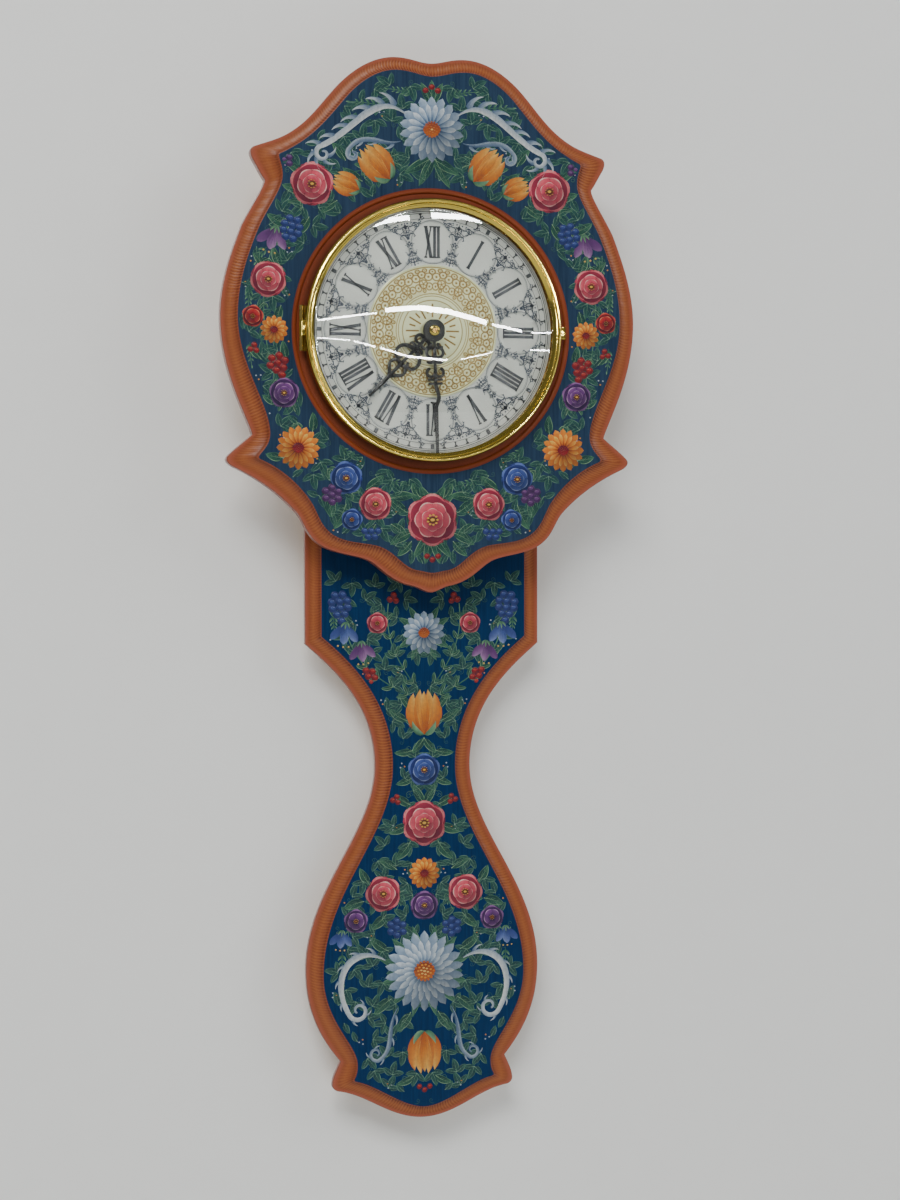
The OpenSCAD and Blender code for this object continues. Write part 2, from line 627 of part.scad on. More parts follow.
module cover_screws() {
    color("silver") dial(cover_h - 1) for (s = [-1, 1], p = [cover_post, drive_post]) translate([s * p[0], p[1], 0]) {
        cylinder(r = 1.9, h = 1, $fn = 32);
        cylinder(r = cover_screw_r, h = 1 + cover_t + 5, $fn = 32);
    }
}

module rubber_washer() {
    color("black") dial(mov_h) difference() {
        cylinder(r = 12, h = washer_t);
        disc_hole(bush_r + 0.2);
    }
}

module fixing_nut() {
    color("gold") dial(centre_h) difference() {
        cylinder(r = bush_r + 2.2, h = 2.2, $fn = 6);
        translate([0, 0, -1]) cylinder(r = bush_r + run, h = 5);
    }
}

module circuit_board() {
    color("darkgreen") dial(board_h - board_t) {
        slab(-21, 16.4, 21, 25.6, board_t);
        translate([6, 18, -1]) slab(0, 0, 5, 5, 1 + eps);
        translate([-12, 21, -1.5]) rotate([0, 90, 0]) cylinder(r = 1, h = 6, $fn = 32);
        translate([-12, 20.6, -1.5]) cube([6, 0.8, 1.5 + eps]);
    }
}

motor_coil_r = 2.7;
motor_coil_at = [0, 20.6];
stator_t = 0.8;
module motor_coil() {
    axis_h = plate_front_h + stator_t + motor_coil_r;
    color("chocolate") dial(axis_h) translate([motor_coil_at[0], motor_coil_at[1], 0]) rotate([0, 90, 0]) {
        cylinder(r = motor_coil_r - 0.3, h = 12, $fn = 48);
        for (x = [0, 11.2]) translate([0, 0, x]) cylinder(r = motor_coil_r, h = 0.8, $fn = 48);
    }
}

module motor_stator() {
    color("silver") dial(plate_front_h) {
        slab(-14, 17, 16, 24.4, stator_t);
        disc(3, 3.4, [-9, 20.6]);
    }
}

module train_plate() {
    color("gray") dial(plate_front_h - train_plate_t) difference() {
        slab(-bay_half + gap, bay_wall_z + 0.8 + gap, bay_half - gap, bay_half - 5, train_plate_t);
        translate([0, 0, -1]) cylinder(r = arbor_r + run, h = 4, $fn = 48);
        for (p = [minute_wheel_at, third_at]) translate([p[0], p[1], -1]) cylinder(r = pivot_r + run, h = 4, $fn = 32);
    }
}

// Plate between the motion work and the train; it rests on the step of the two stout posts
module inner_plate() {
    color("gray") dial(inner_plate_h - inner_plate_t) difference() {
        slab(-plate_post[0] - 3, -4, plate_post[0] + 3, third_at[1] + 4, inner_plate_t);
        disc_hole(arbor_r + gap);
        translate([minute_wheel_at[0], minute_wheel_at[1], -1]) cylinder(r = shaft_r + gap, h = 3, $fn = 32);
        translate([third_at[0], third_at[1], -1]) cylinder(r = pivot_r + run, h = 3, $fn = 32);
        for (s = [-1, 1]) translate([s * plate_post[0], plate_post[1], -1])
            cylinder(r = plate_post_r + run, h = 3, $fn = 32);
    }
}

module battery() {
    x0 = -battery_l / 2;
    color("darkorange") dial(battery_h) translate([x0, battery_z, 0]) rotate([0, 90, 0]) {
        cylinder(r = battery_r, h = battery_l, $fn = 64);
        cylinder(r = 2.7, h = battery_l + 1.2, $fn = 48);
    }
}

module battery_contact_positive() {
    x = battery_l / 2 + 1.2;
    color("silver") dial(battery_h - 5) slab(x, battery_z - 4, bay_half, battery_z + 4, 10);
}

module battery_contact_negative() {
    color("silver") dial(battery_h) {
        translate([-bay_half, battery_z - 4, -5]) cube([0.4, 8, 10]);
        translate([-bay_half, battery_z, 0]) rotate([0, 90, 0])
            cylinder(r1 = 3.6, r2 = 2.4, h = bay_half - battery_l / 2, $fn = 32);
    }
}

module minute_arbor() {
    arbor_from = cover_h - 3.8;
    color("gold") dial() difference() {
        union() {
            // Shaft from the setting knob to the hand nut, cannon pinion and centre wheel
            translate([0, 0, arbor_from]) cylinder(r = arbor_r, h = minute_hand_h + hand_t + 2.4 - arbor_from, $fn = 48);
            translate([0, 0, cannon_h - 1.8]) spur(cannon_n, gear_m, 1.8, minute_wheel_a);
            translate([0, 0, centre_wheel_h - 1]) spur(centre_wheel_n, train_m, 1, third_a);
        }
        for (a = [0:72:288]) rotate(a) translate([5.6, 0, centre_wheel_h - 2]) cylinder(r = 1.5, h = 3, $fn = 24);
    }
}

// Flat band along a curve, with its own width at each end, ends rounded
module band(p, w0, w1) {
    n = len(p);
    d = [for (i = [0:n - 1]) let (v = p[min(i + 1, n - 1)] - p[max(i - 1, 0)]) v / norm(v)];
    w = [for (i = [0:n - 1]) (w0 + (w1 - w0) * i / (n - 1)) / 2];
    side = [for (i = [0:n - 1]) p[i] + w[i] * [-d[i][1], d[i][0]]];
    other = [for (i = [n - 1:-1:0]) p[i] - w[i] * [-d[i][1], d[i][0]]];
    polygon(concat(side, other));
    translate(p[0]) circle(w0 / 2, $fn = 12);
    translate(p[n - 1]) circle(w1 / 2, $fn = 12);
}

function sweep_arc(at, r, a0, a1, n) = [for (p = arc(r, a0, a1, n)) at + p];

module minute_outline() {
    reach = minute_l - 55;
    for (s = [-1, 1]) {
        band(sweep_arc([s * 2.6, 15.6], 3.4, s > 0 ? -100 : 280, s > 0 ? 150 : 30, 14), 1.6, 1);
        band(sweep_arc([s * 4.4, 10], 2, s > 0 ? 190 : -10, s > 0 ? 60 : 120, 8), 1.4, 0.8);
        band(sweep_arc([s * 3.1, 29.6], 2.9, s > 0 ? -60 : 240, s > 0 ? 200 : -20, 14), 1.5, 1);
        band(bez([0, 21.5], [s * 2, 22.5], [s * 4, 23], [s * 5.4, 22.2], 6), 1.8, 0.8);
    }
    band([[0, 7], [0, 38]], 1.5, 1.5);
    band([[-4.6, 34.6], [4.6, 34.6]], 1.1, 1.1);
    band([[-4.4, 37.4], [4.4, 37.4]], 0.9, 0.9);
    band(concat([[0, 37]], bez([0, 37], [-0.3, 41], [-2.4, 44], [-2.1, 47.5], 6),
        bez([-2.1, 47.5], [-1.8, 51], [0.4, 52], [0, 56], 6)), 1.9, 1.9);
    band(bez([-0.4, 52], [1, 51.4], [2.2, 51], [3.4, 50.6], 4), 1.4, 0.5);
    band([[0, 54.6], [0, 55 + reach]], 2, 1.4);
    band([[0.2, 68.6], [2, 70.6]], 1.6, 0.6);
}

// Hand with a round hub, a bore for its arbor, and openwork blended into one outline
module hand(angle, r, bore_r) {
    rotate(-angle) difference() {
        union() {
            cylinder(r = r, h = hand_t);
            linear_extrude(hand_t) offset(r = 0.05, $fn = 8) difference() {
                children();
                circle(r - 0.6);
            }
        }
        translate([0, 0, -1]) cylinder(r = bore_r, h = hand_t + 2, $fn = 48);
    }
}

module minute_hand() {
    color("black") dial(minute_hand_h) hand(minute_angle, hub_r, arbor_r + run / 2) minute_outline();
}

module hour_outline() {
    for (s = [-1, 1]) {
        band(sweep_arc([s * 2.9, 11.2], 2.9, s > 0 ? -120 : 300, s > 0 ? 120 : 60, 12), 1.6, 1);
        band(bez([0, 19], [s * 5, 19.6], [s * 10.4, 22], [s * 9.4, 28], 10), 2.2, 1.5);
        band(bez([s * 9.4, 28], [s * 8.6, 32.4], [s * 3.6, 32.6], [s * 3.2, 29.4], 9), 1.5, 0.9);
        band(bez([0, 35], [s * 2, 31], [s * 6, 33], [s * 6.4, 37], 9), 1.6, 1.3);
        band(bez([s * 6.4, 37], [s * 6.4, 40.6], [s * 2.6, 40.8], [0, 46], 9), 1.3, 1.8);
        band(bez([0, 17], [s * 2.6, 17], [s * 4.6, 15.8], [s * 5.4, 17.6], 6), 1.4, 0.8);
    }
    band([[0, 6], [0, 48]], 1.7, 1.9);
    band([[0, 47], [0, hour_l - 0.6]], 2, 1);
}

module hour_hand() {
    color("black") dial(hour_hand_h) hand(hour_angle, hub_r - 0.6, hour_tube_r + run / 2) hour_outline();
}

module hand_nut() {
    color("gold") dial(minute_hand_h + hand_t) difference() {
        rotate_extrude($fn = 48) polygon([[0, 0], [nut_r, 0], [nut_r, 1.2], [nut_r * 0.86, 2], [nut_r * 0.5, 2.3],
            [0, 2.3]]);
        translate([0, 0, -1]) cylinder(r = arbor_r + run / 2, h = 5, $fn = 48);
    }
}

module setting_knob() {
    color("white") dial(cover_h - 5.3) difference() {
        union() {
            cylinder(r = knob_r, h = 4);
            for (a = [0:20:340]) rotate(a) translate([knob_r, 0, 0]) cylinder(r = 0.5, h = 4, $fn = 24);
            cylinder(r = 3, h = 5);
        }
        translate([0, 0, 1.4]) cylinder(r = arbor_r + run / 2, h = 6, $fn = 48);
    }
}

module hour_wheel() {
    a = minute_wheel_a + 180 / hour_wheel_n;
    top = hour_hand_h + hand_t;
    color("gold") dial() difference() {
        union() {
            translate([0, 0, hour_wheel_h - 1.2]) spur(hour_wheel_n, hour_m, 1.2, a);
            translate([0, 0, hour_wheel_h - 1.2]) cylinder(r = hour_tube_r, h = top - hour_wheel_h + 1.2, $fn = 64);
        }
        translate([0, 0, hour_wheel_h - 2]) cylinder(r = arbor_r + run, h = 30, $fn = 48);
    }
}

module minute_wheel() {
    wheel_h = cannon_h - 1.4;
    pinion_h = hour_wheel_h - 1.3;
    pivot_from = plate_front_h - train_plate_t;
    color("white") dial() translate([minute_wheel_at[0], minute_wheel_at[1], 0]) {
        translate([0, 0, wheel_h]) spur(minute_wheel_n, gear_m, 1.1, minute_wheel_a + 180 + 180 / minute_wheel_n);
        translate([0, 0, wheel_h]) cylinder(r = 1.5, h = pinion_h - wheel_h + eps, $fn = 32);
        translate([0, 0, pinion_h]) spur(minute_pinion_n, hour_m, 1.4, minute_wheel_a + 180);
        translate([0, 0, pivot_from]) cylinder(r = pivot_r, h = mov_cavity_h + pivot_sink - pivot_from, $fn = 32);
        translate([0, 0, plate_front_h + gap]) cylinder(r = shaft_r, h = wheel_h - plate_front_h - gap + eps, $fn = 32);
    }
}

module third_wheel() {
    pinion_h = centre_wheel_h - 1.3;
    wheel_h = third_wheel_h - 0.8;
    pivot_from = plate_front_h - train_plate_t;
    shaft_from = plate_front_h + gap;
    color("white") dial() translate([third_at[0], third_at[1], 0]) {
        translate([0, 0, pinion_h]) spur(third_pinion_n, train_m, 1.6, third_a + 180 + 180 / third_pinion_n);
        translate([0, 0, wheel_h]) spur(third_wheel_n, train_m, 0.8, 0);
        translate([0, 0, shaft_from]) cylinder(r = 0.9, h = inner_plate_h - inner_plate_t - gap - shaft_from, $fn = 32);
        translate([0, 0, pivot_from]) cylinder(r = pivot_r, h = inner_plate_h - 0.1 - pivot_from, $fn = 32);
    }
}

module pendulum_coil() {
    h1 = arm_h + arm_t + magnet_t + 0.4;
    color("chocolate") dial(h1) translate([0, coil_z, 0]) difference() {
        cylinder(r = 5.5, h = drive_h0 - mov_wall - h1, $fn = 48);
        translate([0, 0, -1]) cylinder(r = 1.8, h = 20, $fn = 32);
    }
}

module pendulum_pivot_pin() {
    color("silver") dial(cover_h) translate([0, pivot_z, 0])
        cylinder(r = pivot_pin_r, h = drive_h0 - mov_wall - cover_h - 0.4, $fn = 48);
}

module pendulum_arm() {
    color("ivory") dial(arm_h) difference() {
        union() {
            linear_extrude(arm_t) {
                translate([0, pivot_z]) circle(3, $fn = 48);
                translate([-arm_w / 2, hook_z]) square([arm_w, pivot_z - hook_z]);
                translate([0, hook_z]) circle(arm_w / 2, $fn = 48);
            }
            // Hook stud with its head, on which the strap hangs
            translate([0, hook_z, -strap_t - run]) cylinder(r = hook_r, h = strap_t + run + eps, $fn = 48);
            translate([0, hook_z, -strap_t - run - 0.8]) cylinder(r = hook_r + 0.9, h = 0.8, $fn = 48);
        }
        translate([0, pivot_z, -1]) cylinder(r = pivot_pin_r + run, h = arm_t + 2, $fn = 48);
    }
}

module arm_magnet() {
    color("gray") dial(arm_h + arm_t) disc(magnet_r, magnet_t, [0, magnet_z], $fn = 48);
}

module pendulum_strap() {
    top_h = arm_h;
    bend = 12;
    color("gold") dial() difference() {
        union() {
            translate([-strap_w / 2, 0, 0]) rotate([90, 0, 90]) linear_extrude(strap_w) polygon([
                [hook_z, top_h], [hook_z, top_h - strap_t], [hook_z - bend, top_h - strap_t],
                [hook_z - 2 * bend, pend_h], [strap_end_z, pend_h], [strap_end_z, strap_h],
                [hook_z - 2 * bend, strap_h], [hook_z - bend, top_h]]);
            translate([0, hook_z, top_h - strap_t]) cylinder(r = hook_r + 1.8, h = strap_t, $fn = 48);
        }
        translate([0, hook_z, top_h - 5]) cylinder(r = hook_r + run, h = 10, $fn = 48);
        for (z = strap_screw_z) translate([0, z, pend_h - 1]) cylinder(r = strap_screw_r + run, h = strap_t + 2, $fn = 32);
    }
}

module strap_screws() {
    color("gold") dial(strap_h) for (z = strap_screw_z) translate([0, z, 0]) {
        rotate_extrude($fn = 48) polygon([[0, 0], [2.7, 0], [2.5, 0.8], [1.7, 1.5], [0, 1.8]]);
        translate([0, 0, -strap_screw_l]) cylinder(r = strap_screw_r, h = strap_screw_l + eps, $fn = 32);
    }
}

module pendulum_board() {
    stretch = pend_l / drawn_pend_l;
    outer = closed(widen(lengthen(pend_outer, stretch, pend_top), pend_w / drawn_pend_w));
    inner = closed(widen(lengthen(pend_inner, stretch, pend_top), pend_w / drawn_pend_w));
    color("midnightblue") dial(pend_h) difference() {
        moulded_board(outer, inner, pend_t, straight_top = true);
        for (z = strap_screw_z) translate([0, z, strap_t - strap_screw_l - 0.6])
            cylinder(r = strap_screw_r + run, h = strap_screw_l + 2, $fn = 32);
    }
}

head_board();
case_side(-1);  // case_side_left
case_side(1);  // case_side_right
case_top_rail();
case_screws();
hanger_plate();
hanger_screws();
wall_pads();
dial_pan();
pan_screws();
dial_plate();
dial_centre();
hinge_pin();
bezel_ring();
bezel_glass();
glass_retainer();
movement_case();
movement_cover();
cover_screws();
rubber_washer();
fixing_nut();
circuit_board();
motor_coil();
motor_stator();
train_plate();
inner_plate();
battery();
battery_contact_positive();
battery_contact_negative();
minute_arbor();
minute_hand();
hand_nut();
setting_knob();
hour_wheel();
hour_hand();
minute_wheel();
third_wheel();
pendulum_coil();
pendulum_pivot_pin();
pendulum_arm();
arm_magnet();
pendulum_strap();
strap_screws();
pendulum_board();
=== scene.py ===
import math

import bmesh
import bpy
import numpy as np
from mathutils import Euler, Matrix, Vector
from mathutils.geometry import tessellate_polygon


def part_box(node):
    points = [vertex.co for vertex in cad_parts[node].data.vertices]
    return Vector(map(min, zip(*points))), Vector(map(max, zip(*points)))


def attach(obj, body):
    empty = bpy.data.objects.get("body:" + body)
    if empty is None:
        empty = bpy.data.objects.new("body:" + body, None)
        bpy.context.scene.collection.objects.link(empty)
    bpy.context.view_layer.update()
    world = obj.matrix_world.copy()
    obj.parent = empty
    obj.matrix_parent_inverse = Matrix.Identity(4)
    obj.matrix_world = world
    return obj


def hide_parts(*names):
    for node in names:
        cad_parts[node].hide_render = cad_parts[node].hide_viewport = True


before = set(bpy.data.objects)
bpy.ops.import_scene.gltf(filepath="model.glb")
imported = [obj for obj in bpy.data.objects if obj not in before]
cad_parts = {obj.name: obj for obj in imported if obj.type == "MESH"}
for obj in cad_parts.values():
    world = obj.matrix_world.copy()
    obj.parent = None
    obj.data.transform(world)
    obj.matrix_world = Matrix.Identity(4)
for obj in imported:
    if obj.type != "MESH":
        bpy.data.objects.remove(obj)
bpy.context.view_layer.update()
print("stage: CAD frame loaded,", len(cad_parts), "nodes")

mm = 0.001
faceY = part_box("head_board")[0].y               # painted face of the head board
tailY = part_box("pendulum_board")[0].y           # painted face of the pendulum board
dialZ = sum(corner.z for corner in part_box("dial_plate")) / 2
printH = (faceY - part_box("dial_plate")[0].y) / mm       # the dial's face, behind the painted face


# Places and meshes. Shapes are drawn in millimetres: x to the right and z up from the dial's centre,
# h towards the viewer from a plane.

def onDial(points, planeY=faceY):
    p = np.asarray(points, float)
    return np.column_stack([p[:, 0] * mm, planeY - p[:, 2] * mm, dialZ + p[:, 1] * mm])


def inScene(name, data):
    thing = bpy.data.objects.new(name, data)
    bpy.context.scene.collection.objects.link(thing)
    return thing


def smooth(piece, sharpAngle):
    piece.data.shade_smooth()
    piece.data.set_sharp_from_angle(angle=math.radians(sharpAngle))
    piece.data.update()


def newPiece(name, points, faces, materials, sharpAngle=35, slots=None):
    mesh = bpy.data.meshes.new(name)
    mesh.from_pydata([tuple(p) for p in points], [], [tuple(int(v) for v in f) for f in faces])
    for material in materials:
        mesh.materials.append(material)
    if slots is not None:
        mesh.polygons.foreach_set("material_index", np.asarray(slots, np.int32))
    piece = inScene(name, mesh)
    smooth(piece, sharpAngle)
    return piece


def pieceFrom(shape, name, materials):
    mesh = bpy.data.meshes.new(name)
    shape.to_mesh(mesh)
    shape.free()
    for material in materials:
        mesh.materials.append(material)
    return inScene(name, mesh)


def settle(piece, body, slot, *nodes):
    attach(piece, body)
    if nodes:
        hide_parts(*nodes)
    return piece


def baked(piece):
    depsgraph = bpy.context.evaluated_depsgraph_get()
    mesh = bpy.data.meshes.new_from_object(piece.evaluated_get(depsgraph))
    piece.modifiers.clear()
    piece.data = mesh
    return piece


def towards(heading):
    return np.array([math.cos(math.radians(heading)), math.sin(math.radians(heading))])


def bezier(a, b, c, d, steps):
    a, b, c, d = (np.array(p) for p in (a, b, c, d))
    t = ((np.arange(steps) + 1) / steps)[:, None]
    u = 1 - t
    return u ** 3 * a + 3 * u * u * t * b + 3 * u * t * t * c + t ** 3 * d


def legPath(start, legs, finer=1):
    points = [np.array([start], float)]
    for handleA, handleB, end, steps in legs:
        points.append(bezier(points[-1][-1], handleA, handleB, end, steps * finer))
    return np.vstack(points)


def mirrored(half):
    back = half[::-1][1:]
    if abs(half[0][0]) < 1e-9:      # a start on the axis isn't doubled
        back = back[:-1]
    return np.vstack([half, back * [-1, 1]])


def circle(radius, count, centre=(0, 0)):
    a = np.arange(count) / count * 2 * math.pi
    return np.column_stack([centre[0] + radius * np.cos(a), centre[1] + radius * np.sin(a)])


def lathe(name, profile, material, count, sharpAngle=35, closed=True):
    profile = np.asarray(profile, float)
    points = []
    rows = []
    for r, h in profile:
        if r < 1e-6:        # a profile that starts on the axis gets one shared point
            rows.append([len(points)] * count)
            points.append((0, 0, h))
        else:
            rows.append(list(range(len(points), len(points) + count)))
            points.extend((x, z, h) for x, z in circle(r, count))
    faces = []
    n = len(profile)
    for k in range(n if closed else n - 1):
        low, high = rows[k], rows[(k + 1) % n]
        for i in range(count):
            j = (i + 1) % count
            face = [low[i], low[j], high[j], high[i]]
            face = [v for q, v in enumerate(face) if v != face[q - 1]]
            if len(face) > 2:
                faces.append(face)
    return outward(newPiece(name, onDial(points), faces, [material], sharpAngle))


def outward(piece, merge=1e-7):
    shape = bmesh.new()
    shape.from_mesh(piece.data)
    if merge:
        bmesh.ops.remove_doubles(shape, verts=shape.verts, dist=merge)
    bmesh.ops.recalc_face_normals(shape, faces=shape.faces)
    shape.to_mesh(piece.data)
    shape.free()
    return piece


def joined(name, pieces):
    shape = bmesh.new()
    materials = []
    for piece in pieces:
        before = len(shape.faces)
        shape.from_mesh(piece.data)
        shape.faces.ensure_lookup_table()
        for face in shape.faces[before:]:
            face.material_index += len(materials)
        materials.extend(piece.data.materials)
        bpy.data.objects.remove(piece)
    return pieceFrom(shape, name, materials)


def mergedCopy(node):
    shape = bmesh.new()
    shape.from_mesh(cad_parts[node].data)
    bmesh.ops.remove_doubles(shape, verts=shape.verts, dist=1e-6)
    return shape


def thickened(node, name, grow, material, body, slot):
    shape = mergedCopy(node)
    places = np.array([v.co for v in shape.verts])
    low, high = places.min(axis=0), places.max(axis=0)
    moves = []
    for v in shape.verts:
        push = Vector((0, 0, 0))
        for f in v.link_faces:
            if abs(f.normal.y) < 0.3:       # side walls only, so that the hand stays as flat
                push += f.normal
        moves.append(push.normalized() * grow * mm)
    for v, move in zip(shape.verts, moves):
        v.co = Vector(np.clip(np.array(v.co + move), low, high))
    piece = pieceFrom(shape, name, [material])
    smooth(piece, 40)
    return settle(piece, body, slot, node)


def softened(node, name, width, material, body, slot):
    shape = mergedCopy(node)
    bmesh.ops.dissolve_limit(shape, angle_limit=math.radians(1), verts=shape.verts, edges=shape.edges)
    piece = pieceFrom(shape, name, [material])
    bevel = piece.modifiers.new("edges", "BEVEL")
    bevel.width = width * mm
    bevel.segments = 2
    bevel.limit_method = "ANGLE"
    bevel.angle_limit = math.radians(38)
    bevel.use_clamp_overlap = True
    baked(piece)
    smooth(piece, 40)
    return settle(piece, body, slot, node)


# Materials. add() puts a node in a tree: plain values are set, sockets are linked.

def put(tree, socket, value):
    if isinstance(value, bpy.types.NodeSocket):
        tree.links.new(value, socket)
    elif socket.type == "RGBA" and len(value) == 3:
        socket.default_value = tuple(value) + (1,)
    else:
        socket.default_value = value


def add(tree, kind, inputs=None, **settings):
    node = tree.nodes.new(kind)
    for key, value in settings.items():
        setattr(node, key, value)
    for key, value in (inputs or {}).items():
        put(tree, node.inputs[key], value)
    return node


def maths(tree, operation, *values, clamp=False):
    node = add(tree, "ShaderNodeMath", dict(enumerate(values)), operation=operation, use_clamp=clamp)
    return node.outputs[0]


def vectorMaths(tree, operation, *values):
    return add(tree, "ShaderNodeVectorMath", dict(enumerate(values)), operation=operation).outputs


def noise(tree, place, scale, detail, rough=0.5):
    inputs = {"Vector": place, "Scale": scale, "Detail": detail, "Roughness": rough}
    return add(tree, "ShaderNodeTexNoise", inputs).outputs["Fac"]


def spread(tree, value, fromMin, fromMax, toMin=0.0, toMax=1.0):
    inputs = {"Value": value, "From Min": fromMin, "From Max": fromMax, "To Min": toMin, "To Max": toMax}
    return add(tree, "ShaderNodeMapRange", inputs).outputs[0]


def attribute(tree, name, output="Fac"):
    return add(tree, "ShaderNodeAttribute", attribute_name=name).outputs[output]


def mixColour(tree, factor, low, high):
    node = add(tree, "ShaderNodeMix", data_type="RGBA")
    for socket, value in ((node.inputs[0], factor), (node.inputs[6], low), (node.inputs[7], high)):
        put(tree, socket, value)
    return node.outputs[2]


def ramp(tree, factor, stops):
    node = add(tree, "ShaderNodeValToRGB", {"Fac": factor})
    while len(node.color_ramp.elements) < len(stops):
        node.color_ramp.elements.new(0.5)
    for element, (at, *colour) in zip(node.color_ramp.elements, stops):
        element.position = at
        element.color = srgb(*colour) + (1,)
    return node.outputs["Color"]


def srgb(r, g, b):
    def linear(c):
        c /= 255
        return c / 12.92 if c <= 0.04045 else ((c + 0.055) / 1.055) ** 2.4
    return (linear(r), linear(g), linear(b))


def newGroup(name, inputs, outputs):
    group = bpy.data.node_groups.new(name, "ShaderNodeTree")
    group.interface.new_socket("Vector", in_out="INPUT", socket_type="NodeSocketVector")
    for label, value in inputs.items():
        socket = group.interface.new_socket(label, in_out="INPUT", socket_type="NodeSocketFloat")
        socket.default_value = value
    for label in outputs:
        group.interface.new_socket(label, in_out="OUTPUT", socket_type="NodeSocketFloat")
    return group, group.nodes.new("NodeGroupInput").outputs, group.nodes.new("NodeGroupOutput").inputs


def brushGrainGroup():
    group, into, out = newGroup("brushGrain", {"Across": 900.0, "Along": 30.0, "Contrast": 1.0}, ["Mask"])
    scale = add(group, "ShaderNodeCombineXYZ",
                {"X": into["Across"], "Y": into["Across"], "Z": into["Along"]})
    moved = vectorMaths(group, "MULTIPLY", into["Vector"], scale.outputs[0])[0]
    coarse = noise(group, moved, scale=1.0, detail=3.0, rough=0.6)
    centred = maths(group, "ADD", coarse, -0.5)
    put(group, out["Mask"], maths(group, "MULTIPLY_ADD", centred, into["Contrast"], 0.5, clamp=True))
    return group


def blotchGroup():
    group, into, out = newGroup("blotch", {"Scale": 60.0, "Low": 0.3, "High": 0.5}, ["Value", "Speck"])
    clouds = noise(group, into["Vector"], into["Scale"], detail=4.0, rough=0.65)
    finer = maths(group, "MULTIPLY", into["Scale"], 14.0)
    put(group, out["Value"], spread(group, clouds, 0.3, 0.7, into["Low"], into["High"]))
    put(group, out["Speck"], noise(group, into["Vector"], finer, detail=2.0))
    return group


brushGrain = brushGrainGroup()
blotch = blotchGroup()


def newMaterial(name, **plain):
    material = bpy.data.materials.new(name)
    material.use_nodes = True
    tree = material.node_tree
    tree.nodes.clear()
    shader = add(tree, "ShaderNodeBsdfPrincipled",
                 {key.replace("_", " "): value for key, value in plain.items()})
    place = add(tree, "ShaderNodeTexCoord").outputs["Object"]
    add(tree, "ShaderNodeOutputMaterial", {"Surface": shader.outputs[0]})
    return material, tree, shader, place


def useGroup(tree, group, **inputs):
    return add(tree, "ShaderNodeGroup", inputs, node_tree=group).outputs


def dress(tree, shader, colour, rough, height=None, depth=0.0):
    put(tree, shader.inputs["Base Color"], colour)
    put(tree, shader.inputs["Roughness"], rough)
    if depth:
        bump = add(tree, "ShaderNodeBump", {"Height": height, "Distance": depth})
        put(tree, shader.inputs["Normal"], bump.outputs[0])


def seenThrough(tree, shader, passed, tint):
    clear = add(tree, "ShaderNodeBsdfTransparent", {"Color": tint})
    mix = add(tree, "ShaderNodeMixShader", {0: passed, 1: shader.outputs[0], 2: clear.outputs[0]})
    put(tree, tree.nodes["Material Output"].inputs["Surface"], mix.outputs[0])


def speckled(name, dark, light, scale, rough, depth=0.0, **plain):
    material, tree, shader, place = newMaterial(name, **plain)
    marks = useGroup(tree, blotch, Vector=place, Scale=scale, Low=rough[0], High=rough[1])
    colour = mixColour(tree, marks["Speck"], srgb(*dark), srgb(*light))
    dress(tree, shader, colour, marks["Value"], marks["Speck"], depth)
    return material


def grained(name, dark, light, across, along, rough, depth, contrast, turn=None, **plain):
    material, tree, shader, place = newMaterial(name, **plain)
    if turn:
        place = add(tree, "ShaderNodeMapping", {"Vector": place, "Rotation": turn}).outputs[0]
    grain = useGroup(tree, brushGrain, Vector=place, Across=across, Along=along, Contrast=contrast)
    marks = useGroup(tree, blotch, Vector=place, Scale=45.0, Low=rough[0], High=rough[1])
    colour = mixColour(tree, grain["Mask"], srgb(*dark), srgb(*light))
    dress(tree, shader, colour, marks["Value"], grain["Mask"], depth)
    return material


edgeRidges = {      # the router's chatter across the cove, in shares of the way from the edge to the field
    "pitch": 2.1, "arch": 5.0, "crest": 0.58, "depth": 0.00006, "starts": 0.16, "full": 0.4, "drift": 5.0,
    "driftScale": 160.0, "patchScale": 22.0, "patches": (0.36, 0.62), "least": 0.25, "tint": 0.34,
    # Colours across the band, from the outer edge to the field: painted shade where the nose rolls over the
    # outer edge, a painted highlight in the middle of the cove, and a dark line at the face's edge.
    "colours": [(0.0, 84, 30, 24), (0.05, 146, 74, 64), (0.17, 138, 64, 50), (0.3, 122, 58, 34),
                (0.55, 142, 78, 40), (0.8, 120, 56, 32), (0.93, 82, 28, 22), (1.0, 118, 50, 38)],
    # The crest colour is a painted highlight on the tops of the chatter ridges.
    "crestHighlight": (198, 124, 66), "wear": (104, 40, 28)}


